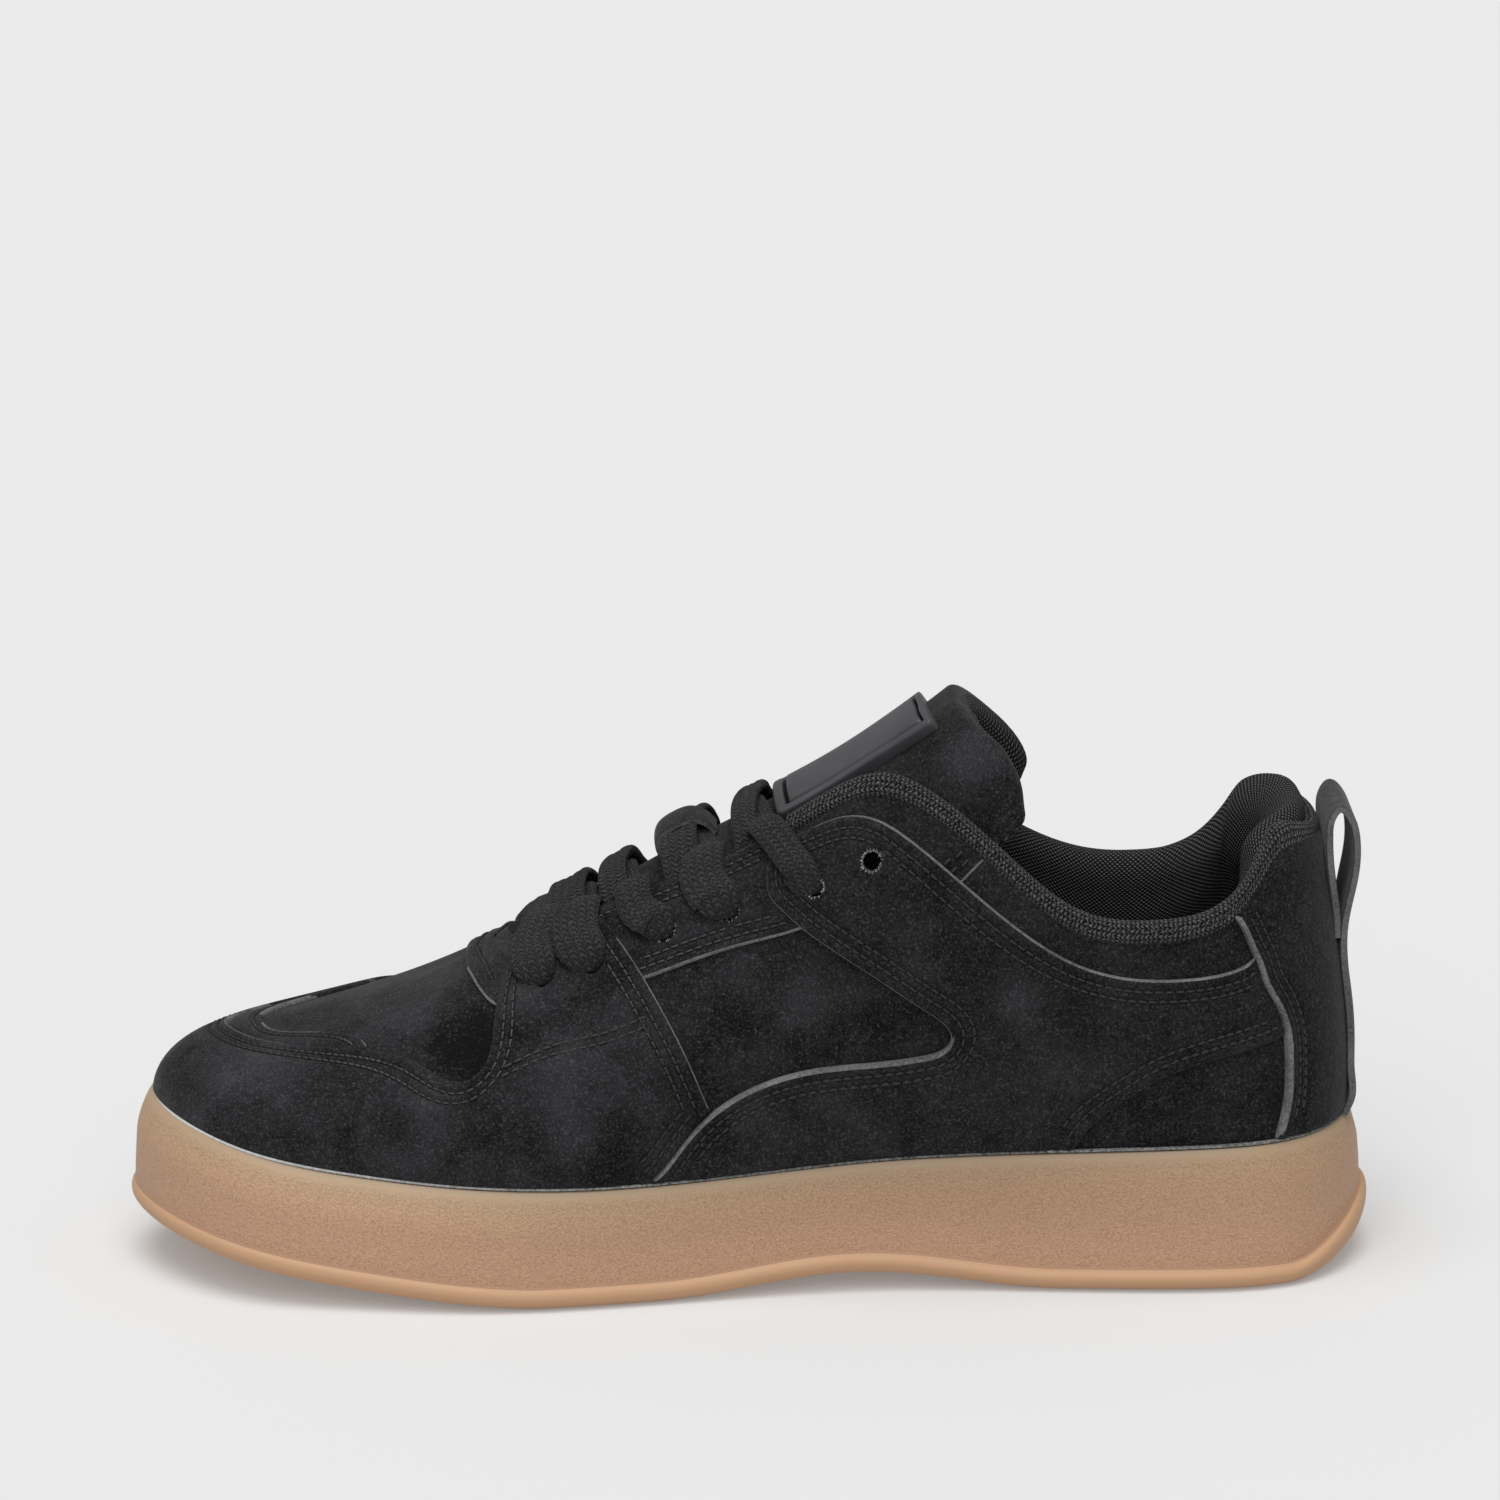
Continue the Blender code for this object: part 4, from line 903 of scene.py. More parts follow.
def knitted(name, pitch, column, dark, light, depth, flecks, low=0.20):
    """Columns of uneven V stitches, from the lengths along and across the piece."""
    finish = Finish(name, roughness=0.9, specular=0.12, sheen=0.05)
    along, across = finish.lengths()
    stray = finish.centred(finish.noise(scale=700, detail=2.0, roughness=0.6))
    across = finish.scaled(stray, 0.9 * column, across)
    fold = finish.maths("PINGPONG", across, column / 2)
    lean = finish.maths("ADD", fold, finish.scaled(stray, 0.8 * pitch, along))
    loops = finish.wave(lean, pitch)
    ribs = finish.maths("DIVIDE", fold, column / 2)
    yarn = finish.noise(scale=2400, detail=2.0, roughness=0.65)
    shape = finish.maths("MULTIPLY", loops, finish.maths("SUBTRACT", 1.1, finish.maths("POWER", ribs, 3.0)))
    shade = finish.scaled(yarn, flecks, finish.maths("MULTIPLY", shape, 0.42))
    finish.relief(shape, depth)
    finish.relief(yarn, distance=0.00016)
    return finish.done(finish.ramp(shade, ((low, dark), (0.20 + 0.75 * (flecks + 0.25), light))))


def mesh_cloth(name, pitch, dark, light):
    """Spacer mesh: rows of round cells that sit between each other."""
    finish = Finish(name, roughness=0.9, specular=0.15)
    along, across = finish.lengths()
    row = finish.wave(finish.maths("ADD", along, across), pitch * 1.41)
    column = finish.wave(finish.maths("SUBTRACT", along, across), pitch * 1.41)
    cells = finish.maths("MULTIPLY", row, column)
    yarn = finish.noise(scale=2600, detail=2.0, roughness=0.6)
    shade = finish.scaled(yarn, 0.25, cells)
    finish.relief(cells, distance=0.00035)
    finish.relief(yarn, distance=0.0001)
    return finish.done(finish.ramp(shade, ((0.15, dark), (0.85, light))))


def smooth_rubber(name, dark, light):
    """Satin moulded rubber."""
    finish = Finish(name, roughness=0.5, specular=0.4)
    cloud = finish.noise(scale=90, detail=2.0, roughness=0.5)
    pores = finish.noise(scale=3500, detail=1.0, roughness=0.5)
    finish.relief(pores, distance=0.00004)
    rough = finish.scaled(cloud, 0.2, 0.42)
    return finish.done(finish.ramp(cloud, ((0.3, dark), (0.7, light))), rough)


def pale_floor():
    """Matt floor that glows a little, as the studio paper does in the photograph's pale shadow."""
    finish = Finish("pale_floor", roughness=0.9, specular=0.1)
    finish.shader.inputs["Emission Color"].default_value = WHITE
    finish.shader.inputs["Emission Strength"].default_value = FLOOR_GLOW
    return finish.done(FLOOR_TONE)


# Display colours, matched to the photograph
RUBBER_STOPS = (
    (0.00, linear(194, 150, 111)),
    (0.16, linear(181, 142, 109)),
    (0.34, linear(186, 148, 115)),
    (0.42, linear(181, 143, 115)),
    (0.52, linear(182, 145, 117)),
    (0.80, linear(180, 146, 117)),
    # The top two stops are darker and greyer on the rim's rounded shoulder: partly the smooth band's own
    # colour, partly painted shade
    (0.92, linear(169, 145, 117)),
    (1.00, linear(160, 140, 118)),
)
WELT_DARK = linear(48, 47, 46)
WELT_PALE = linear(188, 188, 186)
FLOOR_TONE = linear(195, 195, 195)
FLOOR_GLOW = 0.18

LEATHER = (linear(10, 10, 11), linear(66, 66, 69), 0.42)
NUBUCK = nubuck("nubuck", *LEATHER, CLOUDS_AND_PAINTED_LIGHT)
# The vamp's leather, with painted shade in its hollow beside the throat tab
NUBUCK_VAMP_SHADED = nubuck("nubuck_vamp_shaded", *LEATHER, CLOUDS_AND_PAINTED_LIGHT + HOLLOW_PAINTED_SHADE)
NUBUCK_SMOOTH = nubuck("nubuck_strap", linear(56, 56, 58), linear(130, 130, 133), 0.12)
CUT_EDGE = cut_edge("cut_edge", linear(64, 64, 66), linear(120, 120, 120))
# A dark edge, partly painted shade, for the plain edges on the near side
SHADED_DARK_EDGE = cut_edge("shaded_dark_edge", linear(11, 11, 12), linear(28, 28, 29))
FIBRE = cut_edge("pale_fibre", linear(105, 105, 105), linear(190, 190, 188))
# Near-black finish for the painted shade behind the empty eyelets
HOLE_SHADE = cut_edge("hole_shade", linear(5, 5, 5), linear(10, 10, 10))
FELT_EDGE = cut_edge("felt_edge", linear(62, 62, 64), linear(112, 112, 114))
WELT_EDGE = welt_edge()
RUBBER = tan_rubber()
THREAD = thread("black_thread", linear(9, 9, 10))
KNIT_TAPE = knitted(
    "knit_tape", KNIT_PITCH, KNIT_COLUMN, linear(7, 7, 8), linear(98, 98, 101), 0.0003, flecks=0.95, low=0.54
)
LACE_WEAVE = knitted(
    "lace_weave", LACE_LOOP, LACE_COLUMN, linear(22, 22, 23), linear(62, 62, 64), 0.00040, flecks=0.55
)
MESH = mesh_cloth("mesh_cloth", 0.00085, linear(5, 5, 6), linear(98, 98, 101))
FOOTBED = mesh_cloth("footbed_cloth", 0.0009, linear(16, 16, 17), linear(46, 46, 48))
PATCH = smooth_rubber("patch_rubber", linear(58, 58, 61), linear(68, 68, 71))
PATCH_SHADE = smooth_rubber("patch_groove_shade", linear(10, 10, 11), linear(15, 15, 16))


def sole_step(x):
    """Width of the soft step above the lip."""
    return STEP_SOFT * (LIP_STEP_HEEL + (LIP_STEP_TOE - LIP_STEP_HEEL) * from_heel(x))


def lip_top(x):
    """Height of the step on the sole's side, higher round the back of the heel."""
    return ground(x) + LIP_HEIGHT + LIP_HEEL_RISE * heel_bevel(x)


def cup_floor(x):
    """Height of the cup's floor, on which the footbed lies."""
    return rim(x) - CUP_DEPTH


def lip_profile(where):
    """Insets and height shares of the rounded lip, a row for each ring from the floor to the step."""
    step = sole_step(outline(where)[0][:, 0])
    rows = []
    for turn in np.radians(np.linspace(-90, 0, FOOT_RINGS)):
        inset = np.full_like(step, LIP_FOOT * (1 - math.cos(turn)))
        rows.append((inset, LIP_WIDEST * (1 + math.sin(turn))))
    top = math.radians(STEP_TURN)
    for turn in np.linspace(0, top, STEP_RINGS)[1:]:
        inset = step * (1 - math.cos(turn)) / (1 - math.cos(top))
        rows.append((inset, LIP_WIDEST + (1 - LIP_WIDEST) * math.sin(turn) / math.sin(top)))
    return rows


# The side wall from the step to the rim: place on its curve, share of the step and metres inward, share of
# the way up and metres more
WALL_KEYS = named_rows(
    "at step inset up more",
    (0.0, 1.0, 0.0003, 0.0, 0.0003),
    (0.10, 1.0, 0.0003, 0.0, 0.0020),
    (0.45, 1.0, 0.0007, 0.45, 0.0),
    (0.86, 0.3, 0.0031, 1.0, -0.0036),
    (0.95, 0.0, 0.0046, 1.0, -0.0010),
    (1.0, 0.0, 0.0054, 1.0, 0.0),
)
# Rings of the wall on that curve, closer together round the rim
WALL_RINGS = np.append(np.linspace(0, 0.86, 18), (0.90, 0.93, 0.95, 0.97, 0.985, 1.0))
# Shares of the rubber's colours: on the lip, on the wall and under the sole
LIP_COLOURS = (0.0, 0.38)
WALL_COLOURS = (0.42, 1.0)
UNDER_COLOUR = 0.1


def wall_profile(where):
    """Insets and heights of the side wall, a row for each ring from the step to the rim."""
    x = outline(where)[0][:, 0]
    step = sole_step(x)
    low = lip_top(x)
    tall = rim(x) - low
    keys = [(key.step * step + key.inset, low + key.up * tall + key.more) for key in WALL_KEYS]
    line = spline([key.at for key in WALL_KEYS], np.reshape(keys, (len(WALL_KEYS), -1)))
    return line(WALL_RINGS).reshape(len(WALL_RINGS), 2, -1)


def tread(spots, border):
    """Depth of the wavy grooves under the sole."""
    wave = spots[:, 0] + TREAD_SWAY * np.sin(math.tau * spots[:, 1] / TREAD_WAVE)
    groove = np.clip((np.cos(math.tau * wave / TREAD_PITCH) - 0.55) / 0.25, 0, 1)
    fade = 0.001
    return TREAD_DEPTH * groove * np.clip((distance_to(spots, border) - TREAD_MARGIN) / fade, 0, 1)


def build_sole():
    """The rubber cup: lip, wall, inside and treaded underside."""
    where = np.arange(AROUND) * GIRTH / AROUND
    rings = []
    for inset, share in lip_profile(where):
        plan, _ = outline(where, inset)
        low = ground(plan[:, 0])
        rings.append(np.column_stack([plan, low + share * (lip_top(plan[:, 0]) - low)]))
    lip_count = len(rings)
    for inset, height in wall_profile(where):
        plan, _ = outline(where, inset)
        rings.append(np.column_stack([plan, height]))
    wall_count = len(rings) - lip_count
    plan, _ = outline(where, UPPER_INSET - GAP)
    for height in (rim(plan[:, 0]), cup_floor(plan[:, 0])):
        rings.append(np.column_stack([plan, height]))
    profile = np.concatenate([
        np.linspace(*LIP_COLOURS, lip_count),
        np.linspace(*WALL_COLOURS, wall_count),
        (WALL_COLOURS[1], WALL_COLOURS[1]),
    ])
    shape = Shape()
    shape.grid(np.array(rings), np.append(where, GIRTH), profile, wrap_columns=True)
    contact = rings[0][:, :2]
    spots, cells = triangulate(contact, [], grid_inside(contact, spacing=0.0016, margin=0.0012))
    under = np.column_stack([spots, ground(spots[:, 0]) + tread(spots, contact)])
    shape.cells(under, cells, np.column_stack([spots[:, 0], np.full(len(spots), UNDER_COLOUR)]))
    cup = rings[-1][:, :2]
    spots, cells = triangulate(cup, [], coarse_grid(cup))
    shape.cells(np.column_stack([spots, cup_floor(spots[:, 0])]), cells, spots)
    shape.make("sole", [RUBBER], ["cupsole"])


def build_footbed():
    """Cloth covered plate, dished a little along its middle."""
    count = 240
    where = np.arange(count) * GIRTH / count
    inset = UPPER_INSET + WALL + 3 * GAP
    border, _ = outline(where, inset)
    spots, cells = triangulate(border, [], grid_inside(border, spacing=0.004, margin=0.002))
    edge = np.clip(distance_to(spots, border) / DISH_REACH, 0, 1)
    low = cup_floor(spots[:, 0]) + GAP
    top = low + INSOLE_THICK - DISH_DEPTH * smooth(edge)
    shape = Shape()
    shape.cells(np.column_stack([spots, top]), cells, spots)
    shape.cells(np.column_stack([spots, low]), cells, spots)
    rings = np.stack([np.column_stack([border, part[: len(border)]]) for part in (low, top)])
    shape.grid(rings, np.append(where, GIRTH), np.array([0.0, INSOLE_THICK]), wrap_columns=True)
    shape.make("footbed", [FOOTBED], ["insole"])


def collar_share(where):
    """1 round the collar, 0 along the throat, with a short change beside the top eyelet."""
    throat = 10.2
    return np.clip(2 * (throat - section_of(where)), 0, 1)


def eyelet_spot(eyelet, side):
    """Section number and share up of an eyelet, on either side."""
    return on_side(eyelet.station, side), eyelet.share


def build_upper():
    """The shell with its lining face, open at collar and throat, and its twelve punched holes."""
    where = np.arange(AROUND) * GIRTH / AROUND
    ends = 1 - collar_share(where) * TAPE_DROP / rise(where)
    shares = np.linspace(0, 1, UPPER_ROWS)
    plan, out = outline(where, UPPER_INSET)
    foot = np.column_stack([plan, cup_floor(plan[:, 0]) + GAP])
    inner_foot = foot - np.column_stack([out * WALL, np.zeros(AROUND)])
    outer = [skin(where, share * ends) for share in shares]
    inner = [skin(where, share * ends, -WALL) for share in shares[::-3]]
    rings = np.array([foot, *outer, *inner, inner_foot])
    kinds = np.zeros((len(rings), 1), int)
    kinds[len(outer) + 1 :] = 1
    whole_section = 0.3
    around = np.append(lengths_along(rings[:, 0]), whole_section)
    shape = Shape()
    shape.grid(rings, np.append(where, GIRTH), around, kinds, wrap_rows=True, wrap_columns=True)
    upper = shape.make("upper_shell", [NUBUCK_VAMP_SHADED, MESH], ["upper"])
    pins = build_pins()
    cut = upper.modifiers.new("eyelets", "BOOLEAN")
    cut.operation = "DIFFERENCE"
    cut.object = pins
    graph = bpy.context.evaluated_depsgraph_get()
    mesh = bpy.data.meshes.new_from_object(upper.evaluated_get(graph))
    upper.modifiers.clear()
    upper.data = mesh
    bpy.data.objects.remove(pins, do_unlink=True)


# Ends of the cutters for the eyelets: metres inside and outside the upper's face
PIN_INNER = -0.006
PIN_OUTER = 0.004


def build_pins():
    """Cutters through the wall at the eyelets, as one mesh."""
    points = []
    faces = []
    cosines, sines = polygon(ROUND_SIDES)
    ring = np.arange(ROUND_SIDES)
    after = (ring + 1) % ROUND_SIDES
    walls = np.column_stack([ring, after, after + ROUND_SIDES, ring + ROUND_SIDES])
    for side in (-1, 1):
        for eyelet in EYELETS:
            station, share = eyelet_spot(eyelet, side)
            low = skin(place(station), share, PIN_INNER)[0]
            high = skin(place(station), share, PIN_OUTER)[0]
            axis = unit(high - low)
            across = unit(np.cross(axis, (1.0, 0.0, 0.0)))
            circle = np.outer(cosines, across) + np.outer(sines, np.cross(axis, across))
            base = len(points) * ROUND_SIDES
            points += [low + EYELET_RADIUS * circle, high + EYELET_RADIUS * circle]
            faces += (walls + base).tolist()
            faces += [(base + ring[::-1]).tolist(), (base + ROUND_SIDES + ring).tolist()]
    mesh = bpy.data.meshes.new("eyelet_pins")
    mesh.from_pydata(np.vstack(points).tolist(), [], faces)
    return add_object("eyelet_pins", mesh)


# Outlines of the panels as runs of (section number, share of the way up), a corner where runs meet.
# Section numbers past LAST go on round the toe to the lateral side.
EDGE_LOW = 0.014
EDGE_HIGH = 0.975
GUARD_REAR = ((11.05, EDGE_LOW), (10.87, 0.06), (10.65, 0.133), (10.35, 0.213))
GUARD_STAY = (
    (10.35, 0.213), (10.69, 0.369), (11.04, 0.506), (11.39, 0.638), (12.02, 0.854), (12.38, EDGE_HIGH),
)
GUARD_SIDE = (
    (13.45, EDGE_HIGH), (13.37, 0.786), (13.27, 0.681), (13.13, 0.56), (13.1, 0.445), (13.2, 0.402),
    (13.4, 0.4), (13.7, 0.443), (14.17, 0.498), (14.71, 0.514),
)
GUARD_TOE = ((15.68, 0.472), (16.3, 0.413), (16.85, 0.375), (17.4, 0.35), (17.9, 0.37), (18.5, 0.43))
GUARD_FRONT = (*GUARD_SIDE, *GUARD_TOE, *mirrored(GUARD_SIDE))
INLAY_INNER = (
    (14.72, 0.518), (14.93, 0.546), (15.38, 0.574), (15.97, 0.54), (16.4, 0.474), (16.9, 0.455),
    (17.4, 0.45), (17.85, 0.48), (18.3, 0.54), (18.7, 0.574), (19.07, 0.546), (19.28, 0.518),
)
INLAY_OUTER = (
    (19.2, 0.516), (18.5, 0.435), (17.9, 0.374), (17.4, 0.354), (16.85, 0.379), (16.3, 0.417),
    (15.68, 0.476), (14.8, 0.52),
)
TAB_HALF = (
    (13.25, 0.668), (13.39, 0.691), (13.59, 0.729), (13.89, 0.780), (14.49, 0.842), (15.39, 0.887),
    (16.2, 0.905),
)
TAB_FRONT = (*TAB_HALF, (LAST, 0.911), *mirrored(TAB_HALF))
TAB_SIDE = ((13.48, EDGE_HIGH), (13.37, 0.786), (13.25, 0.668))
TAB_SQUEEZE = 0.4
STAY_LOW = ((11.58, 0.643), (11.385, 0.647), (10.82, 0.661), (10.15, 0.66), (9.46, 0.652), (9.26, 0.655))
STAY_REAR = ((9.26, 0.655), (9.60, 0.73), (9.80, 0.784), (9.88, 0.851), (9.92, EDGE_HIGH))
STAY_FRONT = ((12.55, EDGE_HIGH), (12.19, 0.854), (11.58, 0.643))
QUARTER_FRONT = (
    (10.08, 0.955), (10.05, 0.851), (9.97, 0.784), (9.75, 0.726), (9.36, 0.649), (8.65, 0.547),
    (8.03, 0.479), (7.5, 0.431), (7.2, 0.403), (7.1, 0.368), (7.19, 0.328), (7.45, 0.298),
    (8.19, 0.271), (8.82, 0.272), (9.29, 0.271), (9.73, 0.258), (10.05, 0.236), (10.31, 0.203),
    (10.62, 0.133), (10.845, 0.06), (11.02, EDGE_LOW),
)
QUARTER_REAR = (
    (5.68, EDGE_LOW), (5.5, 0.112), (5.2, 0.208), (4.65, 0.308), (3.63, 0.361), (2.07, 0.345), (1.90, 0.345),
)
QUARTER_BACK = ((1.90, 0.345), (2.18, 0.475), (2.45, 0.565), (2.66, 0.67), (2.78, 0.698))
QUARTER_TOP = (
    (2.78, 0.698), (2.95, 0.698), (3.49, 0.714), (4.13, 0.739), (4.81, 0.759), (5.8, 0.803), (6.58, 0.821),
    (7.39, 0.849), (7.86, 0.873), (8.19, 0.893), (8.6, 0.912), (9.23, 0.925), (9.7, 0.93), (10.08, 0.955),
)
COUNTER_FRONT = (
    (3.47, 0.962), (3.38, 0.93), (3.2, 0.86), (2.97, 0.75), (2.8, 0.676), (2.59, 0.565), (2.32, 0.475),
    (2.02, 0.353), (1.97, 0.243), (1.98, 0.138), (2.2, EDGE_LOW),
)
COUNTER_TOP = ((3.47, 0.962), (2.46, 0.962), (1.8, 0.962), (0.9, 0.962), (0.0, 0.962))
GUARD_SEAM = ((12.87, 0.435), (12.33, 0.490), (11.77, 0.503), (11.30, 0.529))
GUARD_SEAM_LOW = ((12.87, 0.405), (12.33, 0.460), (11.77, 0.473), (11.22, 0.502))


RISE_PLACES = np.linspace(0, GIRTH, 181)
RISES = rise(RISE_PLACES)


def to_chart(spots, squeeze=1.0):
    """Section numbers and shares to flat lengths: round the shoe, squeezed if asked, and up the section."""
    spots = np.asarray(spots, float)
    where = place(spots[:, 0])
    return np.column_stack([squeeze * where, spots[:, 1] * np.interp(where % GIRTH, RISE_PLACES, RISES)])


def from_chart(flat, squeeze=1.0):
    """Flat lengths to places round the shoe and shares up."""
    where = flat[:, 0] / squeeze
    return where, flat[:, 1] / np.interp(where % GIRTH, RISE_PLACES, RISES)


def smooth_run(run, step, squeeze=1.0):
    """Evenly spaced chart points along a smooth curve through a run, without its last point."""
    corners = to_chart(run, squeeze)
    lengths = lengths_along(corners)
    count = max(1, round(lengths[-1] / step))
    return spline(lengths, corners)(np.arange(count) * lengths[-1] / count)


# Rows of points beside a panel's border, metres inward
BORDER_ROWS = (
    0.0003, 0.0007, 0.0013, 0.0019, 0.0024, 0.0028, 0.0032, 0.0036, 0.0042, 0.0047, 0.0052, 0.0057, 0.0064,
)
# A row is left out where a corner brings it nearer to the border than this share of its distance
ROW_CLEAR = 0.94
# Metres round an eyelet that are left clear, and the rings of points in them, as shares of its radius
HOLE_CLEAR = 0.0016
HOLE_ROWS = (1.12, 1.4)
# A stitch: shares of its length along it with metres up, and its thickness there
STITCH_BOW = np.array(
    [(-0.5, -0.00040), (-0.36, 0.00010), (0.0, 0.00028), (0.36, 0.00010), (0.5, -0.00040)]
)
STITCH_TAPER = np.array([0.55, 0.95, 1.0, 0.95, 0.55])
THREAD_SIDES = 6

# Kinds of leather faces: the face itself, a raw light edge, and an edge darker than the face, its dark
# partly painted shade, which the near side's plain edges get
FACE, LIGHT, SHADED_DARK = 0, 1, 2
# Widths of a light edge over the panel's rounded rim
THIN_EDGE = 0.0004
EDGE = 0.00075
THICK_EDGE = 0.0014

Panel = collections.namedtuple("Panel", "border turn holes seams top light tucked squeeze")


def panel_plan(runs, sewn, top, holes=(), offsets=SEAM_OFFSETS, light=(), tucked=(), squeeze=1.0):
    """A panel's border, the side its inside lies on, its holes and the lines along which it is sewn.

    Light: rows of run number, first and last section, width of the raw edge there, and if need be the lowest
    and highest share. Tucked: numbers of the runs that lie under a neighbour.
    """
    lines = [smooth_run(run, BORDER_STEP, squeeze) for run in runs]
    widths = [np.zeros(len(line)) for line in lines]
    for number, first, last, width, *shares in light:
        where, share = from_chart(lines[number], squeeze)
        section = section_of(where)
        low, high = shares or (0, 1)
        chosen = (section >= first) & (section <= last) & (share >= low) & (share <= high)
        widths[number][chosen] = width
    border = np.vstack(lines)
    ahead = np.roll(border, -1, axis=0)
    area = (border[:, 0] * ahead[:, 1] - border[:, 1] * ahead[:, 0]).sum()
    circle = EYELET_RADIUS * np.column_stack(polygon(ROUND_SIDES))
    rounds = [to_chart([hole])[0] + circle for hole in holes]
    seams = [(smooth_run(runs[number], SEAM_STEP, squeeze), offset) for number in sewn for offset in offsets]
    under = [smooth_run(runs[number], TUCK_STEP, squeeze) for number in tucked]
    turn = 1 if area > 0 else -1
    return Panel(border, turn, rounds, seams, top, np.concatenate(widths), under, squeeze)


def inward_of(line, turn, closed):
    """Headings along a flat line, and the directions toward the side that the turn gives."""
    ahead = np.roll(line, -1, axis=0) - np.roll(line, 1, axis=0) if closed else np.gradient(line, axis=0)
    heading = unit(ahead)
    return heading, turn * np.column_stack([-heading[:, 1], heading[:, 0]])


def panel_lift(spots, panel):
    """Height of a panel's face over the upper: rounded at its edges and drawn in along its seams."""
    away = np.min([distance_to(spots, loop) for loop in (panel.border, *panel.holes)], axis=0)
    edge = np.clip(away / EDGE_ROUND, 0, 1)
    lift = panel.top * (EDGE_FOOT + (1 - EDGE_FOOT) * rounded(edge))
    for line in panel.tucked:
        near = np.clip(distance_to(spots, line, closed=False) / TUCK_REACH, 0, 1)
        lift = lift * (TUCK_FOOT + (1 - TUCK_FOOT) * smooth(near))
    for line, offset in panel.seams:
        beside = distance_to(spots, line, closed=False) - offset
        lift = lift - SEAM_DEPTH * np.exp(-((beside / SEAM_HALF) ** 2))
    return np.maximum(lift, LEAST_LIFT)


def build_panel(name, panel):
    """A leather panel on the upper: sewn face, raw edges and back."""
    _, inward = inward_of(panel.border, panel.turn, closed=True)
    inner = []
    for offset in BORDER_ROWS:
        ring = panel.border + offset * inward
        ring = ring[inside_of(ring, panel.border)]
        inner.append(ring[distance_to(ring, panel.border) > ROW_CLEAR * offset])
    inner.append(grid_inside(panel.border, PANEL_STEP, BORDER_ROWS[-1] + 0.3 * PANEL_STEP))
    inner = np.vstack(inner)
    for hole in panel.holes:
        centre = hole.mean(axis=0)
        inner = inner[np.linalg.norm(inner - centre, axis=1) > EYELET_RADIUS + HOLE_CLEAR]
        inner = np.vstack([inner] + [centre + (hole - centre) * share for share in HOLE_ROWS])
    spots, cells = triangulate(panel.border, panel.holes, inner)
    lift = panel_lift(spots, panel)
    where, share = from_chart(spots, panel.squeeze)
    face = skin(where, share, lift)
    back = skin(where, share, PANEL_FOOT)
    nearest = np.zeros(len(spots))
    rows = distance_to(spots, panel.border)
    for few in np.array_split(np.arange(len(spots)), max(1, len(spots) // CHUNK)):
        gaps = np.linalg.norm(spots[few][:, None] - panel.border, axis=2)
        nearest[few] = panel.light[gaps.argmin(axis=1)]
    light = (rows[cells].max(axis=1) < nearest[cells].min(axis=1)) & (nearest[cells].min(axis=1) > 0)
    shape = Shape()
    shape.cells(face, cells, spots, np.where(light, LIGHT, FACE))
    base = 0
    for loop in (panel.border, *panel.holes):
        ring = slice(base, base + len(loop))
        wall = np.stack([back[ring], face[ring]])
        u = np.append(lengths_along(back[ring]), 0.0)
        # Plain edges on the near side get the dark edge: painted shade along the panel's border
        near_shaded = np.where(face[ring][:, 1] < 0, SHADED_DARK, FACE)
        kinds = np.where(panel.light > 0, LIGHT, near_shaded) if base == 0 else np.full(len(loop), LIGHT)
        shape.grid(wall, u, np.array([0.0, panel.top]), kinds[None], wrap_columns=True)
        base += len(loop)
    few, rough_cells = triangulate(panel.border, panel.holes, coarse_grid(panel.border))
    where, share = from_chart(few, panel.squeeze)
    shape.cells(skin(where, share, PANEL_FOOT), rough_cells, few)
    shape.make(name + "_leather", [NUBUCK, CUT_EDGE, SHADED_DARK_EDGE], [name])
    sew(name + "_stitches", panel)


def stitch_spots(panel, line, offset):
    """Middles and headings of the stitches along a line moved inward, clear of corners and holes."""
    heading, inward = inward_of(line, panel.turn, closed=False)
    moved = line + offset * inward
    clear = distance_to(moved, panel.border) > 0.97 * offset - 1e-6
    hole_clear = EYELET_RADIUS + 0.0015
    for hole in panel.holes:
        clear &= np.linalg.norm(moved - hole.mean(axis=0), axis=1) > hole_clear
    breaks = np.flatnonzero(np.diff(clear.astype(int))) + 1
    middles = []
    headings = []
    for span in np.split(np.arange(len(line)), breaks):
        if not clear[span[0]] or len(span) < 3:
            continue
        lengths = lengths_along(moved[span])
        at = np.arange(STITCH_PITCH / 2, lengths[-1], STITCH_PITCH)
        for rows, values in ((middles, moved[span]), (headings, heading[span])):
            rows.append(np.column_stack([np.interp(at, lengths, column) for column in values.T]))
    if not middles:
        return np.empty((0, 2)), np.empty((0, 2))
    return np.vstack(middles), np.vstack(headings)


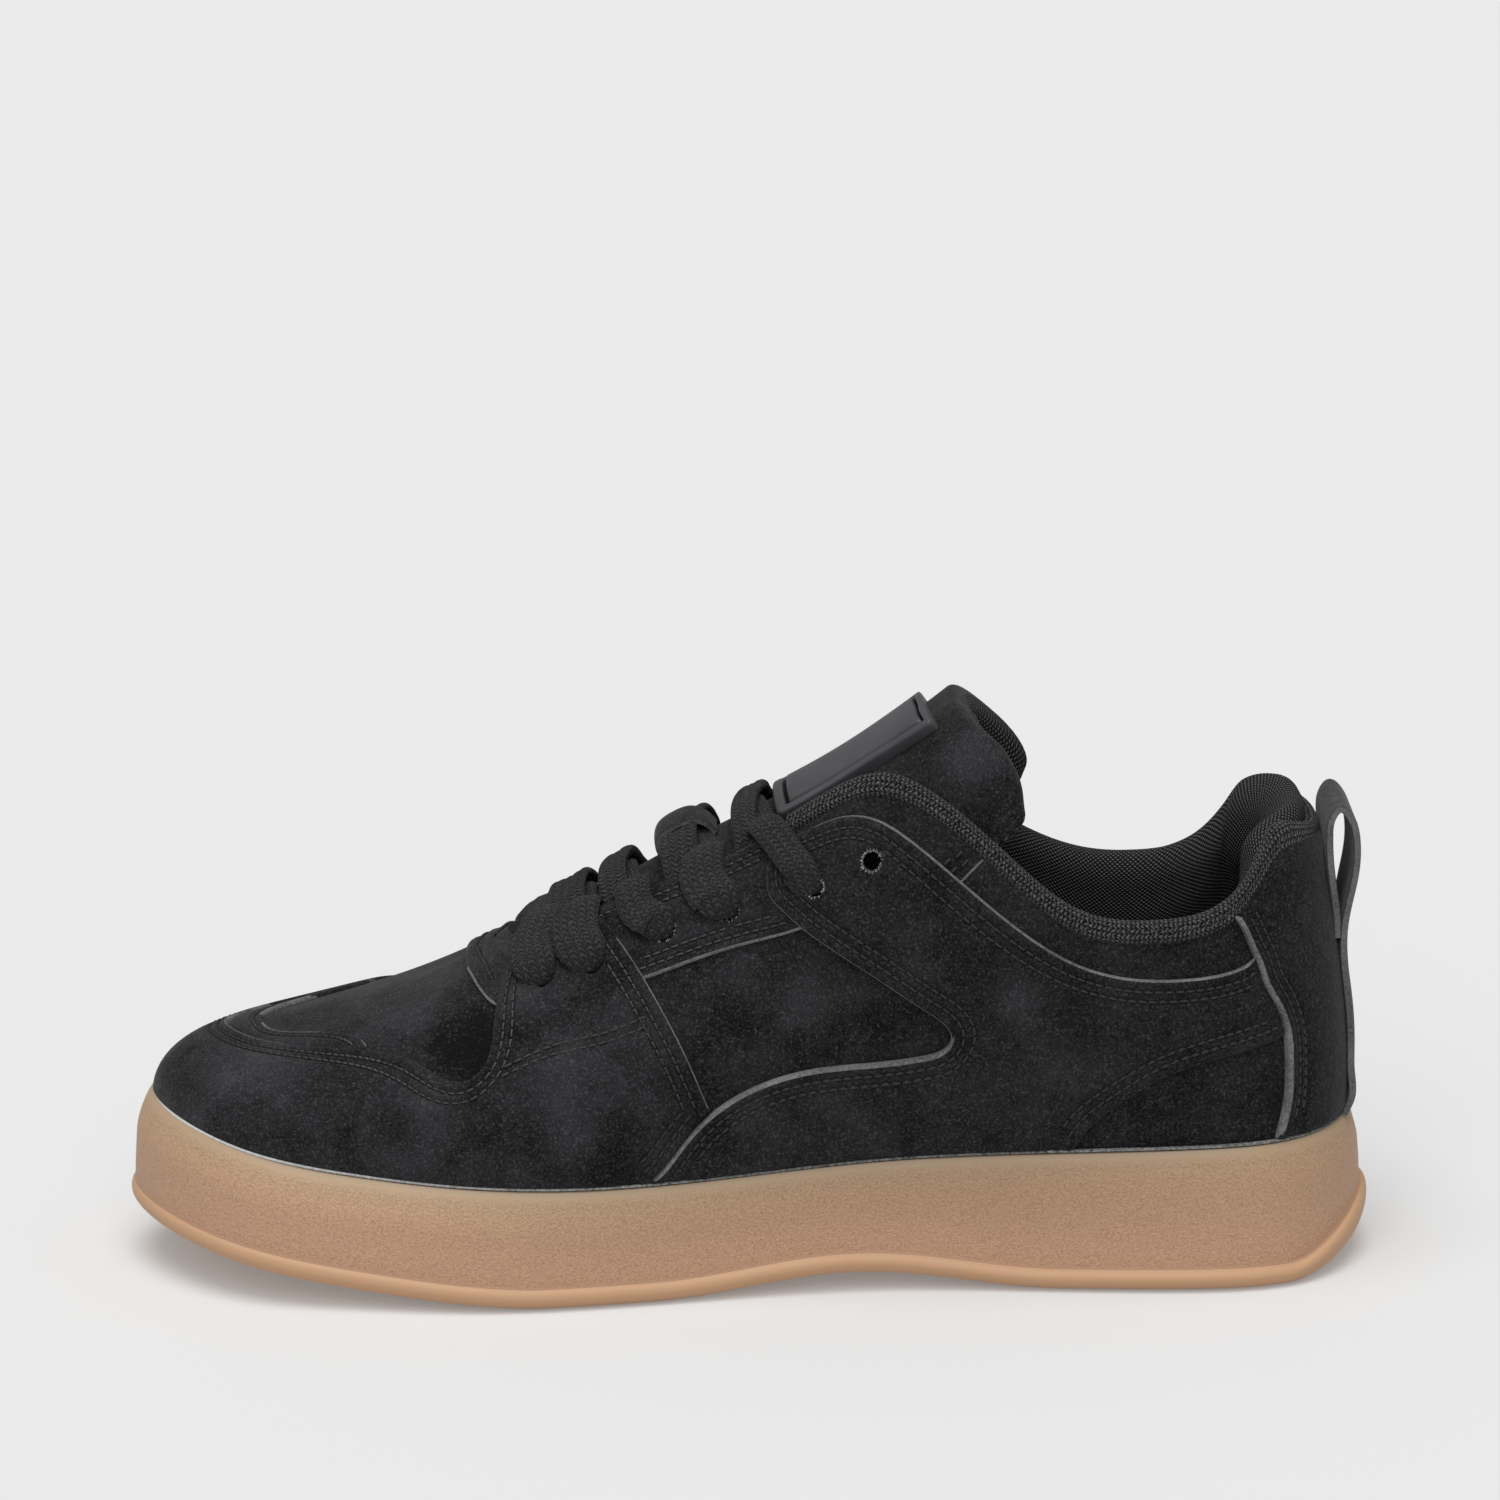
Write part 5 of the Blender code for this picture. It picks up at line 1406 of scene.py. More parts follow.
def sew(name, panel):
    """Every stitch of a panel's seams, as one mesh of short bowed threads."""
    rows = [stitch_spots(panel, line, offset) for line, offset in panel.seams]
    middles = np.vstack([row[0] for row in rows])
    headings = unit(np.vstack([row[1] for row in rows]))
    flat = middles[:, None] + headings[:, None] * STITCH_BOW[:, 0, None] * STITCH_LENGTH
    where, share = from_chart(flat.reshape(-1, 2), panel.squeeze)
    lift = np.repeat(panel_lift(middles, panel), len(STITCH_BOW)) + np.tile(STITCH_BOW[:, 1], len(middles))
    path = skin(where, share, lift).reshape(len(middles), -1, 3)
    above = skin(where, share, lift + 0.001).reshape(path.shape) - path
    run = unit(np.gradient(path, axis=1))
    across = unit(np.cross(run, above))
    above = np.cross(across, run)
    cosines, sines = polygon(THREAD_SIDES)
    circle = across[:, :, None] * cosines[:, None] + above[:, :, None] * sines[:, None]
    points = path[:, :, None] + THREAD_RADIUS * STITCH_TAPER[:, None, None] * circle
    count = len(STITCH_BOW)
    row, spot = np.divmod(np.arange((count - 1) * THREAD_SIDES), THREAD_SIDES)
    after = (spot + 1) % THREAD_SIDES
    low = row * THREAD_SIDES
    high = low + THREAD_SIDES
    quads = np.column_stack([low + spot, low + after, high + after, high + spot])
    ends = [np.arange(THREAD_SIDES), (count - 1) * THREAD_SIDES + np.arange(THREAD_SIDES)]
    faces = []
    for base in range(0, len(middles) * count * THREAD_SIDES, count * THREAD_SIDES):
        faces += (quads + base).tolist()
        faces += [(end + base).tolist() for end in ends]
    shape = Shape()
    flat_points = points.reshape(-1, 3)
    shape.cells(flat_points, faces, np.zeros((len(flat_points), 2)))
    shape.make(name, [THREAD])


# Thickness of the panels
GUARD_LIFT = 0.0018
INLAY_LIFT = 0.0011
TAB_LIFT = 0.0012
STAY_LIFT = 0.0013
QUARTER_LIFT = 0.0020
COUNTER_LIFT = 0.0022
# Seams of the inlay and the tab, metres inside their edges
INLAY_OFFSETS = (0.0022,)
TAB_OFFSETS = (0.0022, 0.0046, 0.0070)


def build_panels():
    """All the leather panels, with their stitches, from the toe to the heel."""
    build_toe()
    build_sides()
    build_counter()


def build_toe():
    """Toe guard, its inlay and the tab at the front of the throat."""
    front_holes = [(eyelet.station, eyelet.share) for eyelet in EYELETS[:2]]
    guard = (
        GUARD_REAR,
        GUARD_STAY,
        join(GUARD_STAY, GUARD_FRONT, EDGE_HIGH),
        GUARD_FRONT,
        join(GUARD_FRONT, mirrored(GUARD_STAY), EDGE_HIGH),
        mirrored(GUARD_STAY),
        mirrored(GUARD_REAR),
        join(mirrored(GUARD_REAR), GUARD_REAR, EDGE_LOW),
    )
    light = ((1, 10, 13, THIN_EDGE, 0, 0.82), (5, 10, 13, THIN_EDGE, 0, 0.82), (3, 15.9, 18, EDGE))
    holes = [*front_holes, *mirrored(front_holes)]
    plan = panel_plan(guard, (0, 1, 3, 5, 6), GUARD_LIFT, holes, light=light)
    for run in (GUARD_SEAM, GUARD_SEAM_LOW):
        plan.seams.append((smooth_run(run, SEAM_STEP), 0.0))
        plan.seams.append((smooth_run(mirrored(run), SEAM_STEP), 0.0))
    build_panel("toe_guard", plan)
    inlay = (
        INLAY_INNER,
        (INLAY_INNER[-1], INLAY_OUTER[0]),
        INLAY_OUTER,
        (INLAY_OUTER[-1], INLAY_INNER[0]),
    )
    light = ((0, 14.6, 15.1, THIN_EDGE), (0, 15.9, 16.8, EDGE))
    build_panel("toe_inlay", panel_plan(inlay, (0,), INLAY_LIFT, offsets=INLAY_OFFSETS, light=light))
    tab = (TAB_SIDE, TAB_FRONT, mirrored(TAB_SIDE), join(mirrored(TAB_SIDE), TAB_SIDE, EDGE_HIGH))
    light = ((1, 13, 15.2, THIN_EDGE),)
    plan = panel_plan(tab, (1,), TAB_LIFT, offsets=TAB_OFFSETS, light=light, squeeze=TAB_SQUEEZE)
    build_panel("throat_tab", plan)


def build_sides():
    """Eyestays and quarters. A lateral panel has the medial one's runs in the opposite order."""
    holes = [(eyelet.station, eyelet.share) for eyelet in EYELETS]
    stay = (STAY_LOW, STAY_REAR, join(STAY_REAR, STAY_FRONT, EDGE_HIGH), STAY_FRONT)
    foot = join(QUARTER_FRONT, QUARTER_REAR, EDGE_LOW)
    quarter = (QUARTER_FRONT, foot, QUARTER_REAR, QUARTER_BACK, QUARTER_TOP)
    for side, turned, order in (("medial", tuple, 1), ("lateral", mirrored, -1)):
        runs = [turned(run) for run in stay][::order]
        low, rear, high, front = range(4)[::order]
        light = ((low, 9, 12, EDGE), (high, 9.9, 10.6, THIN_EDGE))
        tucked = (rear, front)
        plan = panel_plan(runs, (low, high), STAY_LIFT, turned(holes[2:4]), light=light, tucked=tucked)
        build_panel(f"eyestay_{side}", plan)
        runs = [turned(run) for run in quarter][::order]
        front, _, rear, back, high = range(5)[::order]
        light = (
            (front, 7.0, 10.2, THIN_EDGE, 0.38, 1),
            (front, 7.0, 11.2, EDGE, 0, 0.38),
            (high, 2.7, 9.4, THIN_EDGE),
        )
        sewn = (front, rear, high)
        plan = panel_plan(runs, sewn, QUARTER_LIFT, turned(holes[4:]), light=light, tucked=(back,))
        build_panel(f"quarter_{side}", plan)


def build_counter():
    """The panel round the heel, the same on both sides."""
    half = (COUNTER_FRONT[::-1], COUNTER_TOP)
    other = [through_heel(run) for run in half][::-1]
    counter = (*half, *other, join(other[-1], half[0], EDGE_LOW))
    light = ((0, 0, 4, THICK_EDGE), (3, 0, 4, THICK_EDGE))
    plan = panel_plan(counter, (0, 3), COUNTER_LIFT, offsets=COUNTER_OFFSETS, light=light, tucked=(1, 2))
    build_panel("heel_counter", plan)


FRAY_SIDES = 3
FRAY_RADIUS = 0.00009
FRAY_SEED = 5
# Third to sixth eyelet: metres of their rims over the upper, and fibres round them
FRAY_LIFTS = (0.0011, 0.0011, 0.0018, 0.0018)
FRAY_COUNTS = (40, 40, 90, 110)


def build_fray():
    """Short pale fibres that stand round the rims of the upper eyelets, as one mesh."""
    chance = np.random.default_rng(FRAY_SEED)
    points = []
    faces = []
    cosines, sines = polygon(FRAY_SIDES)
    for side in (-1, 1):
        for eyelet, lift, count in zip(EYELETS[2:], FRAY_LIFTS, FRAY_COUNTS):
            centre = to_chart([eyelet_spot(eyelet, side)])[0]
            turns = chance.uniform(0, math.tau, count)
            lengths = chance.uniform(0.0003, 0.0009, count)
            leans = chance.uniform(-0.5, 0.5, count)
            start = np.column_stack([np.cos(turns), np.sin(turns)])
            heading = np.column_stack([np.cos(turns + leans), np.sin(turns + leans)])
            inner = centre + start * (EYELET_RADIUS - 0.0001)
            outer = inner + heading * lengths[:, None] * chance.choice([-0.6, 1.0, 1.0], count)[:, None]
            rise_by = chance.uniform(0.0001, 0.0004, count)
            root = skin(*from_chart(inner), lift)
            tip = skin(*from_chart(outer), lift + rise_by)
            run = unit(tip - root)
            across = unit(np.cross(run, (0.3, 0.4, 0.86)))
            upward = np.cross(run, across)
            for number in range(count):
                base = len(points)
                for cosine, sine in zip(cosines, sines):
                    spoke = cosine * across[number] + sine * upward[number]
                    points.append(root[number] + FRAY_RADIUS * spoke)
                points.append(tip[number])
                faces.append((base, base + 1, base + 2))
                for spot in range(FRAY_SIDES):
                    faces.append((base + spot, base + (spot + 1) % FRAY_SIDES, base + FRAY_SIDES))
    shape = Shape()
    shape.cells(np.array(points), faces, np.zeros((len(points), 2)))
    shape.make("eyelet_fray", [FIBRE])


HOLE_SHADE_RADIUS = 0.0038
# Metres of the discs' two faces behind the upper's wall
HOLE_SHADE_FACES = (0.0001, 0.0003)


def build_hole_shade():
    """Near-black discs behind the two empty eyelets: painted shade seen through the holes."""
    shape = Shape()
    circle = np.column_stack(polygon(ROUND_SIDES))
    cells = [(0, 1 + spot, 1 + (spot + 1) % ROUND_SIDES) for spot in range(ROUND_SIDES)]
    for side in (-1, 1):
        centre = to_chart([eyelet_spot(EYELETS[-1], side)])[0]
        flat = np.vstack([centre, centre + HOLE_SHADE_RADIUS * circle])
        for behind in HOLE_SHADE_FACES:
            shape.cells(skin(*from_chart(flat), -WALL - behind), cells, flat)
    shape.make("eyelet_hole_shade", [HOLE_SHADE])


# Seam across the collar and the bar tack beside it, as runs of (section number, share of the way up)
COLLAR_SEAM = ((7.11, 0.834), (6.88, 0.950))
COLLAR_TACKS = (
    ((7.352, 0.848), (7.261, 0.884)),
    ((7.261, 0.837), (7.171, 0.874)),
    ((7.21, 0.889), (7.123, 0.927)),
    ((7.126, 0.876), (7.05, 0.912)),
)
# Half width and height of the seam's edge, and height of the leather under the tack
SEAM_EDGE_HALF = 0.00028
SEAM_EDGE_HIGH = 0.0005
TACK_LIFT = 0.0006


def build_collar_seam():
    """Pale edge of the seam where the collar is joined, and the bar tack beside it, on both sides."""
    across = np.linspace(-1, 1, 5)
    arch = SEAM_EDGE_HIGH * np.sqrt(1 - 0.9 * across**2)
    shape = Shape()
    for turned in (tuple, mirrored):
        line = smooth_run(turned(COLLAR_SEAM), step=0.0004)
        _, aside = inward_of(line, 1, closed=False)
        flat = line[:, None] + SEAM_EDGE_HALF * across[:, None] * aside[:, None]
        where, share = from_chart(flat.reshape(-1, 2))
        points = skin(where, share, np.tile(arch, len(line))).reshape(*flat.shape[:2], 3)
        shape.grid(points, across * SEAM_EDGE_HALF, lengths_along(line))
    shape.make("collar_seam_edge", [CUT_EDGE])
    tacks = [turned(run) for turned in (tuple, mirrored) for run in COLLAR_TACKS]
    seams = [(smooth_run(run, SEAM_STEP), 0.0) for run in tacks]
    nowhere = np.array([(0.0, 0.0), (1e-4, 0.0), (0.0, 1e-4)])
    sew("collar_stitches", Panel(nowhere, 1, [], seams, TACK_LIFT, np.zeros(3), [], 1.0))


# The welt's section: metres inside the sole's edge, half width, half height and how much more at the toe,
# height over the rim, sides
WELT_INSET = 0.0010
WELT_HALF = 0.0009
WELT_HIGH = 0.00036
WELT_TOE = 0.0003
WELT_LIE = 0.00012
WELT_SIDES = 10


def build_welt():
    """Raw edge of the panels that shows all round above the sole's rim, thicker at the toe."""
    where = np.arange(AROUND) * GIRTH / AROUND
    plan, out = outline(where, UPPER_INSET - WELT_INSET)
    toe = np.clip(-plan[:, 0] / (LENGTH / 2), 0, 1) ** 2
    half = WELT_HIGH + WELT_TOE * toe
    middle = np.column_stack([plan, rim(plan[:, 0]) + WELT_LIE + half])
    rings = []
    for cosine, sine in zip(*polygon(WELT_SIDES)):
        rings.append(middle + np.column_stack([out * WELT_HALF * cosine, half * sine]))
    around = np.linspace(0, 0.004, WELT_SIDES + 1)
    shape = Shape()
    shape.grid(np.array(rings), np.append(where, GIRTH), around, wrap_rows=True, wrap_columns=True)
    shape.make("welt_edge", [WELT_EDGE])


def edge_frame(where):
    """Opening edge points with their outward and upward directions."""
    edge = skin(where, 1.0)
    out = skin(where, 1.0, 0.001) - edge
    upward = edge - skin(where, 0.97)
    return edge, unit(out), unit(upward)


def end_caps(shape, rings, kind=0):
    """Closes a run of sections at its first and last one."""
    for ring in (rings[0], rings[-1]):
        shape.cells(ring, [range(len(ring))], np.zeros((len(ring), 2)), kind)


# The tape sits lower on the far side and round the heel, between these sections
FAR_TAPE = (-8.0, -6.0, 0.6, 1.8)
FAR_TAPE_DROP = 0.0016
# It is narrow behind the heel and widest at the heel's near corner
TAPE_SECTIONS = (-2.2, -0.6, 0.4, 1.4, 2.6, 4.2)
TAPE_WIDTHS = (1.0, 0.75, 0.75, 1.35, 1.35, 1.0)
TAPE_COUNT = 900
TAPE_SIDES = 24
# Power that makes the section of tape and laces boxy, and how far the tape's stitches stand out
BOXY = 0.7
KNIT_SWELL = 0.00006


def build_tape():
    """Flat knitted binding over the collar's edge, its stitches standing out a little."""
    stations = np.linspace(-TAPE_END, TAPE_END, TAPE_COUNT)
    edge, out, upward = edge_frame(place(stations))
    drop = TAPE_DROP + FAR_TAPE_DROP * np.interp(stations, FAR_TAPE, (0.0, 1.0, 1.0, 0.0))
    middle = edge - 0.5 * WALL * out - drop[:, None] * upward
    along = lengths_along(middle)
    cosines, sines = polygon(TAPE_SIDES)
    half_height = TAPE_HALF_HEIGHT * np.interp(stations, TAPE_SECTIONS, TAPE_WIDTHS)
    around = np.arange(TAPE_SIDES + 1) * math.tau / TAPE_SIDES * TAPE_HALF_HEIGHT
    columns = np.abs((around[:-1] / KNIT_COLUMN) % 1 - 0.5)
    loops = np.sin(math.tau * (along[:, None] / KNIT_PITCH + 0.9 * columns))
    swell = KNIT_SWELL * loops * (1 - 0.5 * (2 * columns) ** 4)
    across = boxed(cosines, BOXY) * TAPE_REACH
    height = boxed(sines, BOXY) * half_height[:, None]
    points = middle[:, None] + (across + swell * cosines)[:, :, None] * out[:, None]
    points = points + (height + swell * sines)[:, :, None] * upward[:, None]
    shape = Shape()
    shape.grid(points, around, along, wrap_columns=True, turned=True)
    end_caps(shape, points)
    shape.make("collar_binding", [KNIT_TAPE], ["collar_tape"])


# On the near side the padding stays behind the tape, from the first of these sections to the second
NEAR_LINING = (0.5, 2.2)
LINING_SINK = 0.0022
# Round the heel it rolls outward over the tape, between these sections
LINING_ROLL = (-4.5, -3.0, 0.6, 1.8)
ROLL_OVER = 0.0034
MOST_LIFT = max(pad.lift for pad in PAD)
# Sections over which the padding grows from its ends, its least puff, and metres below the edge that sink
PUFF_REACH = 4.6
LEAST_PUFF = 0.12
SINK_REACH = 0.015
LINING_COUNT = 260
LINING_SIDES = 48


def build_lining():
    """Padded mesh lining of the collar, thick round the heel and thin toward the eyestays."""
    stations = np.linspace(-COLLAR_END, COLLAR_END, LINING_COUNT)
    where = place(stations)
    puff = np.clip((COLLAR_END - np.abs(stations)) / PUFF_REACH, LEAST_PUFF, 1.0)
    hidden = np.interp(stations, NEAR_LINING, (0.0, 1.0))
    roll = ROLL_OVER * np.interp(stations, LINING_ROLL, (0.0, 1.0, 1.0, 0.0))
    _, _, upward = edge_frame(where)
    rows = []
    for pad in PAD:
        sunk = LINING_SINK * hidden * np.clip(1 + pad.height / SINK_REACH, 0, 1)
        height = pad.height + pad.lift * puff * (1 - hidden) - sunk
        depth = pad.depth + pad.puff * puff - roll * pad.lift / MOST_LIFT
        share = 1 + np.minimum(height, 0.0) / rise(where)
        rows.append(skin(where, share, -depth) + np.maximum(height, 0.0)[:, None] * upward)
    rows = np.array(rows)
    middle = rows[:, len(where) // 2]
    knots = lengths_along(middle)
    period = knots[-1] + np.linalg.norm(middle[0] - middle[-1])
    samples = np.linspace(0, period, LINING_SIDES + 1)
    points = spline(knots, rows.reshape(len(PAD), -1), period)(samples[:-1])
    points = points.reshape(LINING_SIDES, LINING_COUNT, 3).transpose(1, 0, 2)
    shape = Shape()
    shape.grid(points, samples, lengths_along(points[:, LINING_SIDES // 2]), wrap_columns=True)
    end_caps(shape, points)
    lining = shape.make("collar_padding", [MESH], ["collar_lining"])


TONGUE_LINE = spline(
    np.linspace(0, 1, len(TONGUE)),
    [
        (
            LENGTH * (0.5 - row.along / 100),
            row.aside * BALL_WIDTH / 200,
            row.up * HEEL_HEIGHT / 100,
            row.half_width * BALL_WIDTH / 200,
            row.drop * HEEL_HEIGHT / 100,
            row.thick,
        )
        for row in TONGUE
    ],
)


# Share from the tongue's middle to where its far side hangs down
FAR_REACH = 1.04
# Turn, in radians, that carries the near lobe backward, the share of the length from which it grows, and the
# shares between which it fades at the edge
NEAR_FLARE = 0.26
FLARE_START = 0.7
FLARE_FADE = (0.78, 1.02)
# Share of the tongue's half width over which its sides ease from the curve into the hanging part
TONGUE_EASE = 0.15
# Direction of the hanging part
HANG_FORWARD = 0.35
HANG_DOWN = 0.94
# Powers of the curve across the tongue at its front and at its top, and the shares of length between them
ROUND_BOW = 2.0
FLAT_BOW = 3.6
BOW_CHANGE = (0.5, 0.8)


def eased(values, limit, ease):
    """Values that run up to a limit and stop there softly."""
    over = np.clip(values - limit + ease, 0, 2 * ease)
    return np.minimum(values, limit + ease) - over**2 / (4 * ease)


def tongue_bow(along):
    """Power of the curve across the tongue: round at the front, flat topped with steep sides at the top."""
    start, end = BOW_CHANGE
    share = np.clip((np.asarray(along) - start) / (end - start), 0, 1)
    return ROUND_BOW + (FLAT_BOW - ROUND_BOW) * smooth(share)


def tongue_face(along, across, lift=0.0):
    """Points of the tongue's front face: share from front to top, share from medial to lateral edge.

    Past the near edge and a little past the far one the face hangs down.
    """
    along = np.atleast_1d(np.asarray(along, float))
    across = np.broadcast_to(np.asarray(across, float), along.shape)
    row = TONGUE_LINE(along)
    run = TONGUE_LINE(np.minimum(along + 0.01, 1)) - TONGUE_LINE(np.maximum(along - 0.01, 0))
    turn = np.arctan2(-run[:, 0], run[:, 2])
    flare = np.clip((along - FLARE_START) / (1 - FLARE_START), 0, 1)
    turn = turn + NEAR_FLARE * flare * np.interp(-across, (0, 0.2, *FLARE_FADE), (0, 1, 1, 0))
    down = np.column_stack([np.cos(turn), np.zeros(len(run)), np.sin(turn)])
    bow = tongue_bow(along)
    limit = np.where(across < 0, 1.0, FAR_REACH)
    reach = np.sign(across) * eased(np.abs(across), limit, TONGUE_EASE)
    slope = row[:, 4] * bow * np.abs(reach) ** (bow - 1) * np.sign(reach)
    steep = np.hypot(slope, row[:, 3])
    aside = row[:, 3] * reach + lift * slope / steep
    sink = row[:, 4] * np.abs(reach) ** bow - lift * row[:, 3] / steep
    hang = row[:, 3] * np.abs(across - reach)
    moved = np.column_stack([-HANG_FORWARD * hang, aside, -HANG_DOWN * hang])
    return row[:, :3] + moved + sink[:, None] * down


def half_arc(along):
    """Length of the tongue's face from its middle to its edge."""
    samples = 25
    line = tongue_face(np.full(samples, float(along)), np.linspace(0, 1, samples))
    return lengths_along(line)[-1]


def tongue_share(x):
    """Share along the tongue of a place along the shoe."""
    shares = np.linspace(0, 1, 101)
    return np.interp(x, TONGUE_LINE(shares)[:, 0], shares)


# Shares of the tongue's length over which its corners and its top edge are rounded, and how far the corners
# are drawn in; its far side hangs lower than the near one
TONGUE_CORNER = 0.13
TONGUE_BEAD = 0.07
CORNER_DRAW = 0.30
NEAR_HANG = 0.28
FAR_HANG = 0.46
# Shares of length over which the sides begin to hang
HANG_CHANGE = (0.72, 0.92)
# Points across the tongue's face, round each of its sides, along it and round its top edge
TONGUE_COLUMNS = 57
SIDE_COLUMNS = 7
TONGUE_ROWS = 84
BEAD_ROWS = 9


def build_tongue():
    """Padded tongue: leather front, mesh back, rounded edges and corners."""
    front = np.sin(np.linspace(-1, 1, TONGUE_COLUMNS) * math.pi / 2)
    round_side = np.radians(np.linspace(0, 180, SIDE_COLUMNS + 2))[1:-1]
    body = np.linspace(0, 1 - TONGUE_BEAD, TONGUE_ROWS)
    alongs = np.append(body, 1 - TONGUE_BEAD * (1 - np.sin(np.linspace(0.1, 1.5, BEAD_ROWS))))
    hang_start, hang_end = HANG_CHANGE
    rows = []
    for along in alongs:
        end = np.clip((along - 1 + TONGUE_BEAD) / TONGUE_BEAD, 0, 1)
        corner = np.clip((along - 1 + TONGUE_CORNER) / TONGUE_CORNER, 0, 1)
        draw = CORNER_DRAW * (1 - math.sqrt(1 - corner**2))
        hang = smooth(np.clip((along - hang_start) / (hang_end - hang_start), 0, 1))
        far = 1 + FAR_HANG * hang - 0.6 * draw
        near = 1 + NEAR_HANG * hang - draw
        thick = TONGUE_LINE(along)[0, 5]
        swell = math.sqrt(max(0.0, 1 - end**2))
        edge = 0.45 * thick * swell
        spread = np.where(front > 0, far, near) * front
        bulge = 0.5 * edge * np.sin(round_side) / half_arc(along)
        across = np.concatenate([spread, far + bulge, spread[::-1], -near - bulge])
        depth = thick * swell * (1 - 0.55 * np.abs(front) ** 4)
        sink = 0.5 * thick * (1 - swell)
        turn = 0.5 * edge * (np.cos(round_side) - 1)
        lift = np.concatenate([0 * front, turn, -depth[::-1], turn[::-1]]) - sink
        rows.append(tongue_face(np.full(len(across), along), across, lift))
    points = np.array(rows)
    kinds = np.ones((1, points.shape[1]), int)
    kinds[0, : TONGUE_COLUMNS - 1] = 0
    widest_row = 80
    whole_section = 0.2
    around = np.append(lengths_along(points[widest_row]), whole_section)
    shape = Shape()
    shape.grid(points, around, lengths_along(points[:, TONGUE_COLUMNS // 2]), kinds, wrap_columns=True)
    end_caps(shape, points)
    tongue = shape.make("tongue_padding", [NUBUCK, MESH], ["tongue"])


def round_corners(across, along, radius):
    """A unit square's points with its corners drawn in to quarter circles."""
    over_x = (np.abs(across) - 1 + radius[0]) / radius[0]
    over_y = (np.abs(along) - 1 + radius[1]) / radius[1]
    corner = (over_x > 0) & (over_y > 0)
    length = np.where(corner, np.hypot(over_x, over_y), 1.0)
    pull = np.where(corner, np.maximum(over_x, over_y) / np.maximum(length, 1e-9), 1.0)
    x = np.where(corner, np.sign(across) * (1 - radius[0] + radius[0] * over_x * pull), across)
    y = np.where(corner, np.sign(along) * (1 - radius[1] + radius[1] * over_y * pull), along)
    return x, y


# Width of the patch's border, depth and half width of the groove inside it, width of its bevel and the share
# of the thickness under it, radius of its corners
PATCH_BORDER = 0.0022
PATCH_GROOVE = 0.0015
GROOVE_HALF = 0.0004
PATCH_BEVEL = 0.0007
BEVEL_FOOT = 0.72
PATCH_CORNER = 0.0016
# Rows of points beside its edge, metres inward, and points between them
PATCH_RIMS = np.array([
    0, 0.0002, 0.0005, 0.0009, 0.0014, 0.0019, 0.0022, 0.0024, 0.0026, 0.0028, 0.0030, 0.0034, 0.0044,
])
PATCH_MIDDLE = 24


def build_patch():
    """A bare moulded patch: raised border, groove and flat face."""
    start, end = PATCH_ALONG
    length = 0.5 * (end - start)
    middle = 0.5 * (end + start)
    long_half = 0.5 * np.linalg.norm(TONGUE_LINE(end)[0, :3] - TONGUE_LINE(start)[0, :3])
    size = np.array([PATCH_HALF_WIDTH, long_half])
    sides = []
    for half in size:
        near = -1 + PATCH_RIMS / half
        inner = np.linspace(near[-1], -near[-1], PATCH_MIDDLE)[1:-1]
        sides.append(np.concatenate([near, inner, -near[::-1]]))
    across, along = np.meshgrid(*sides)
    inset = np.minimum((1 - np.abs(across)) * size[0], (1 - np.abs(along)) * size[1])
    bevel = np.clip(inset / PATCH_BEVEL, 0, 1)
    groove_middle = PATCH_BORDER + GROOVE_HALF
    lift = PATCH_THICK * (BEVEL_FOOT + (1 - BEVEL_FOOT) * rounded(bevel))
    lift -= PATCH_GROOVE * np.exp(-(((inset - groove_middle) / GROOVE_HALF) ** 2))
    x, y = round_corners(across, along, PATCH_CORNER / size)
    places = middle + length * y + PATCH_SKEW * -x * (1 + y) / 2
    shares = x * PATCH_HALF_WIDTH / half_arc(middle)
    top = tongue_face(places.ravel(), shares.ravel(), lift.ravel()).reshape(*x.shape, 3)
    foot = tongue_face(places.ravel(), shares.ravel(), PANEL_FOOT).reshape(*x.shape, 3)
    u = sides[0] * size[0]
    v = sides[1] * size[1]
    middles = 0.25 * (inset[1:, 1:] + inset[1:, :-1] + inset[:-1, 1:] + inset[:-1, :-1])
    # Faces in the groove get the near-black finish: painted shade in the recess
    groove = np.abs(middles - groove_middle) < GROOVE_HALF
    shape = Shape()
    shape.grid(top, u, v, groove.astype(int))
    shape.grid(foot, u, v)
    for edge in (np.s_[0], np.s_[-1], np.s_[:, 0], np.s_[:, -1]):
        wall = np.stack([foot[edge], top[edge]])
        shape.grid(wall, np.linspace(0, 0.03, wall.shape[1]), np.array([0.0, PATCH_THICK]))
    shape.make("patch_moulding", [PATCH, PATCH_SHADE], ["tongue_patch"])


# Strap edges: share of the thickness over which they are rounded, and share of it that is left there
STRAP_ROUND = 0.35
STRAP_EDGE = 0.70


def strap_sections(rows, thick, columns):
    """Rounded sections of a strap: rows of points across it, moved half a thickness to each side."""
    run = unit(np.gradient(rows, axis=0))
    wide = unit(np.gradient(rows, axis=1))
    face = unit(np.cross(run, wide))
    across = np.linspace(-1, 1, columns)
    width = np.linalg.norm(rows[:, -1] - rows[:, 0], axis=1)
    edge = np.clip((1 - np.abs(across)) * width.mean() / 2 / (STRAP_ROUND * thick), 0, 1)
    half = 0.5 * thick * (STRAP_EDGE + (1 - STRAP_EDGE) * rounded(edge))
    return rows + face * half[:, None], rows - face * half[:, None]


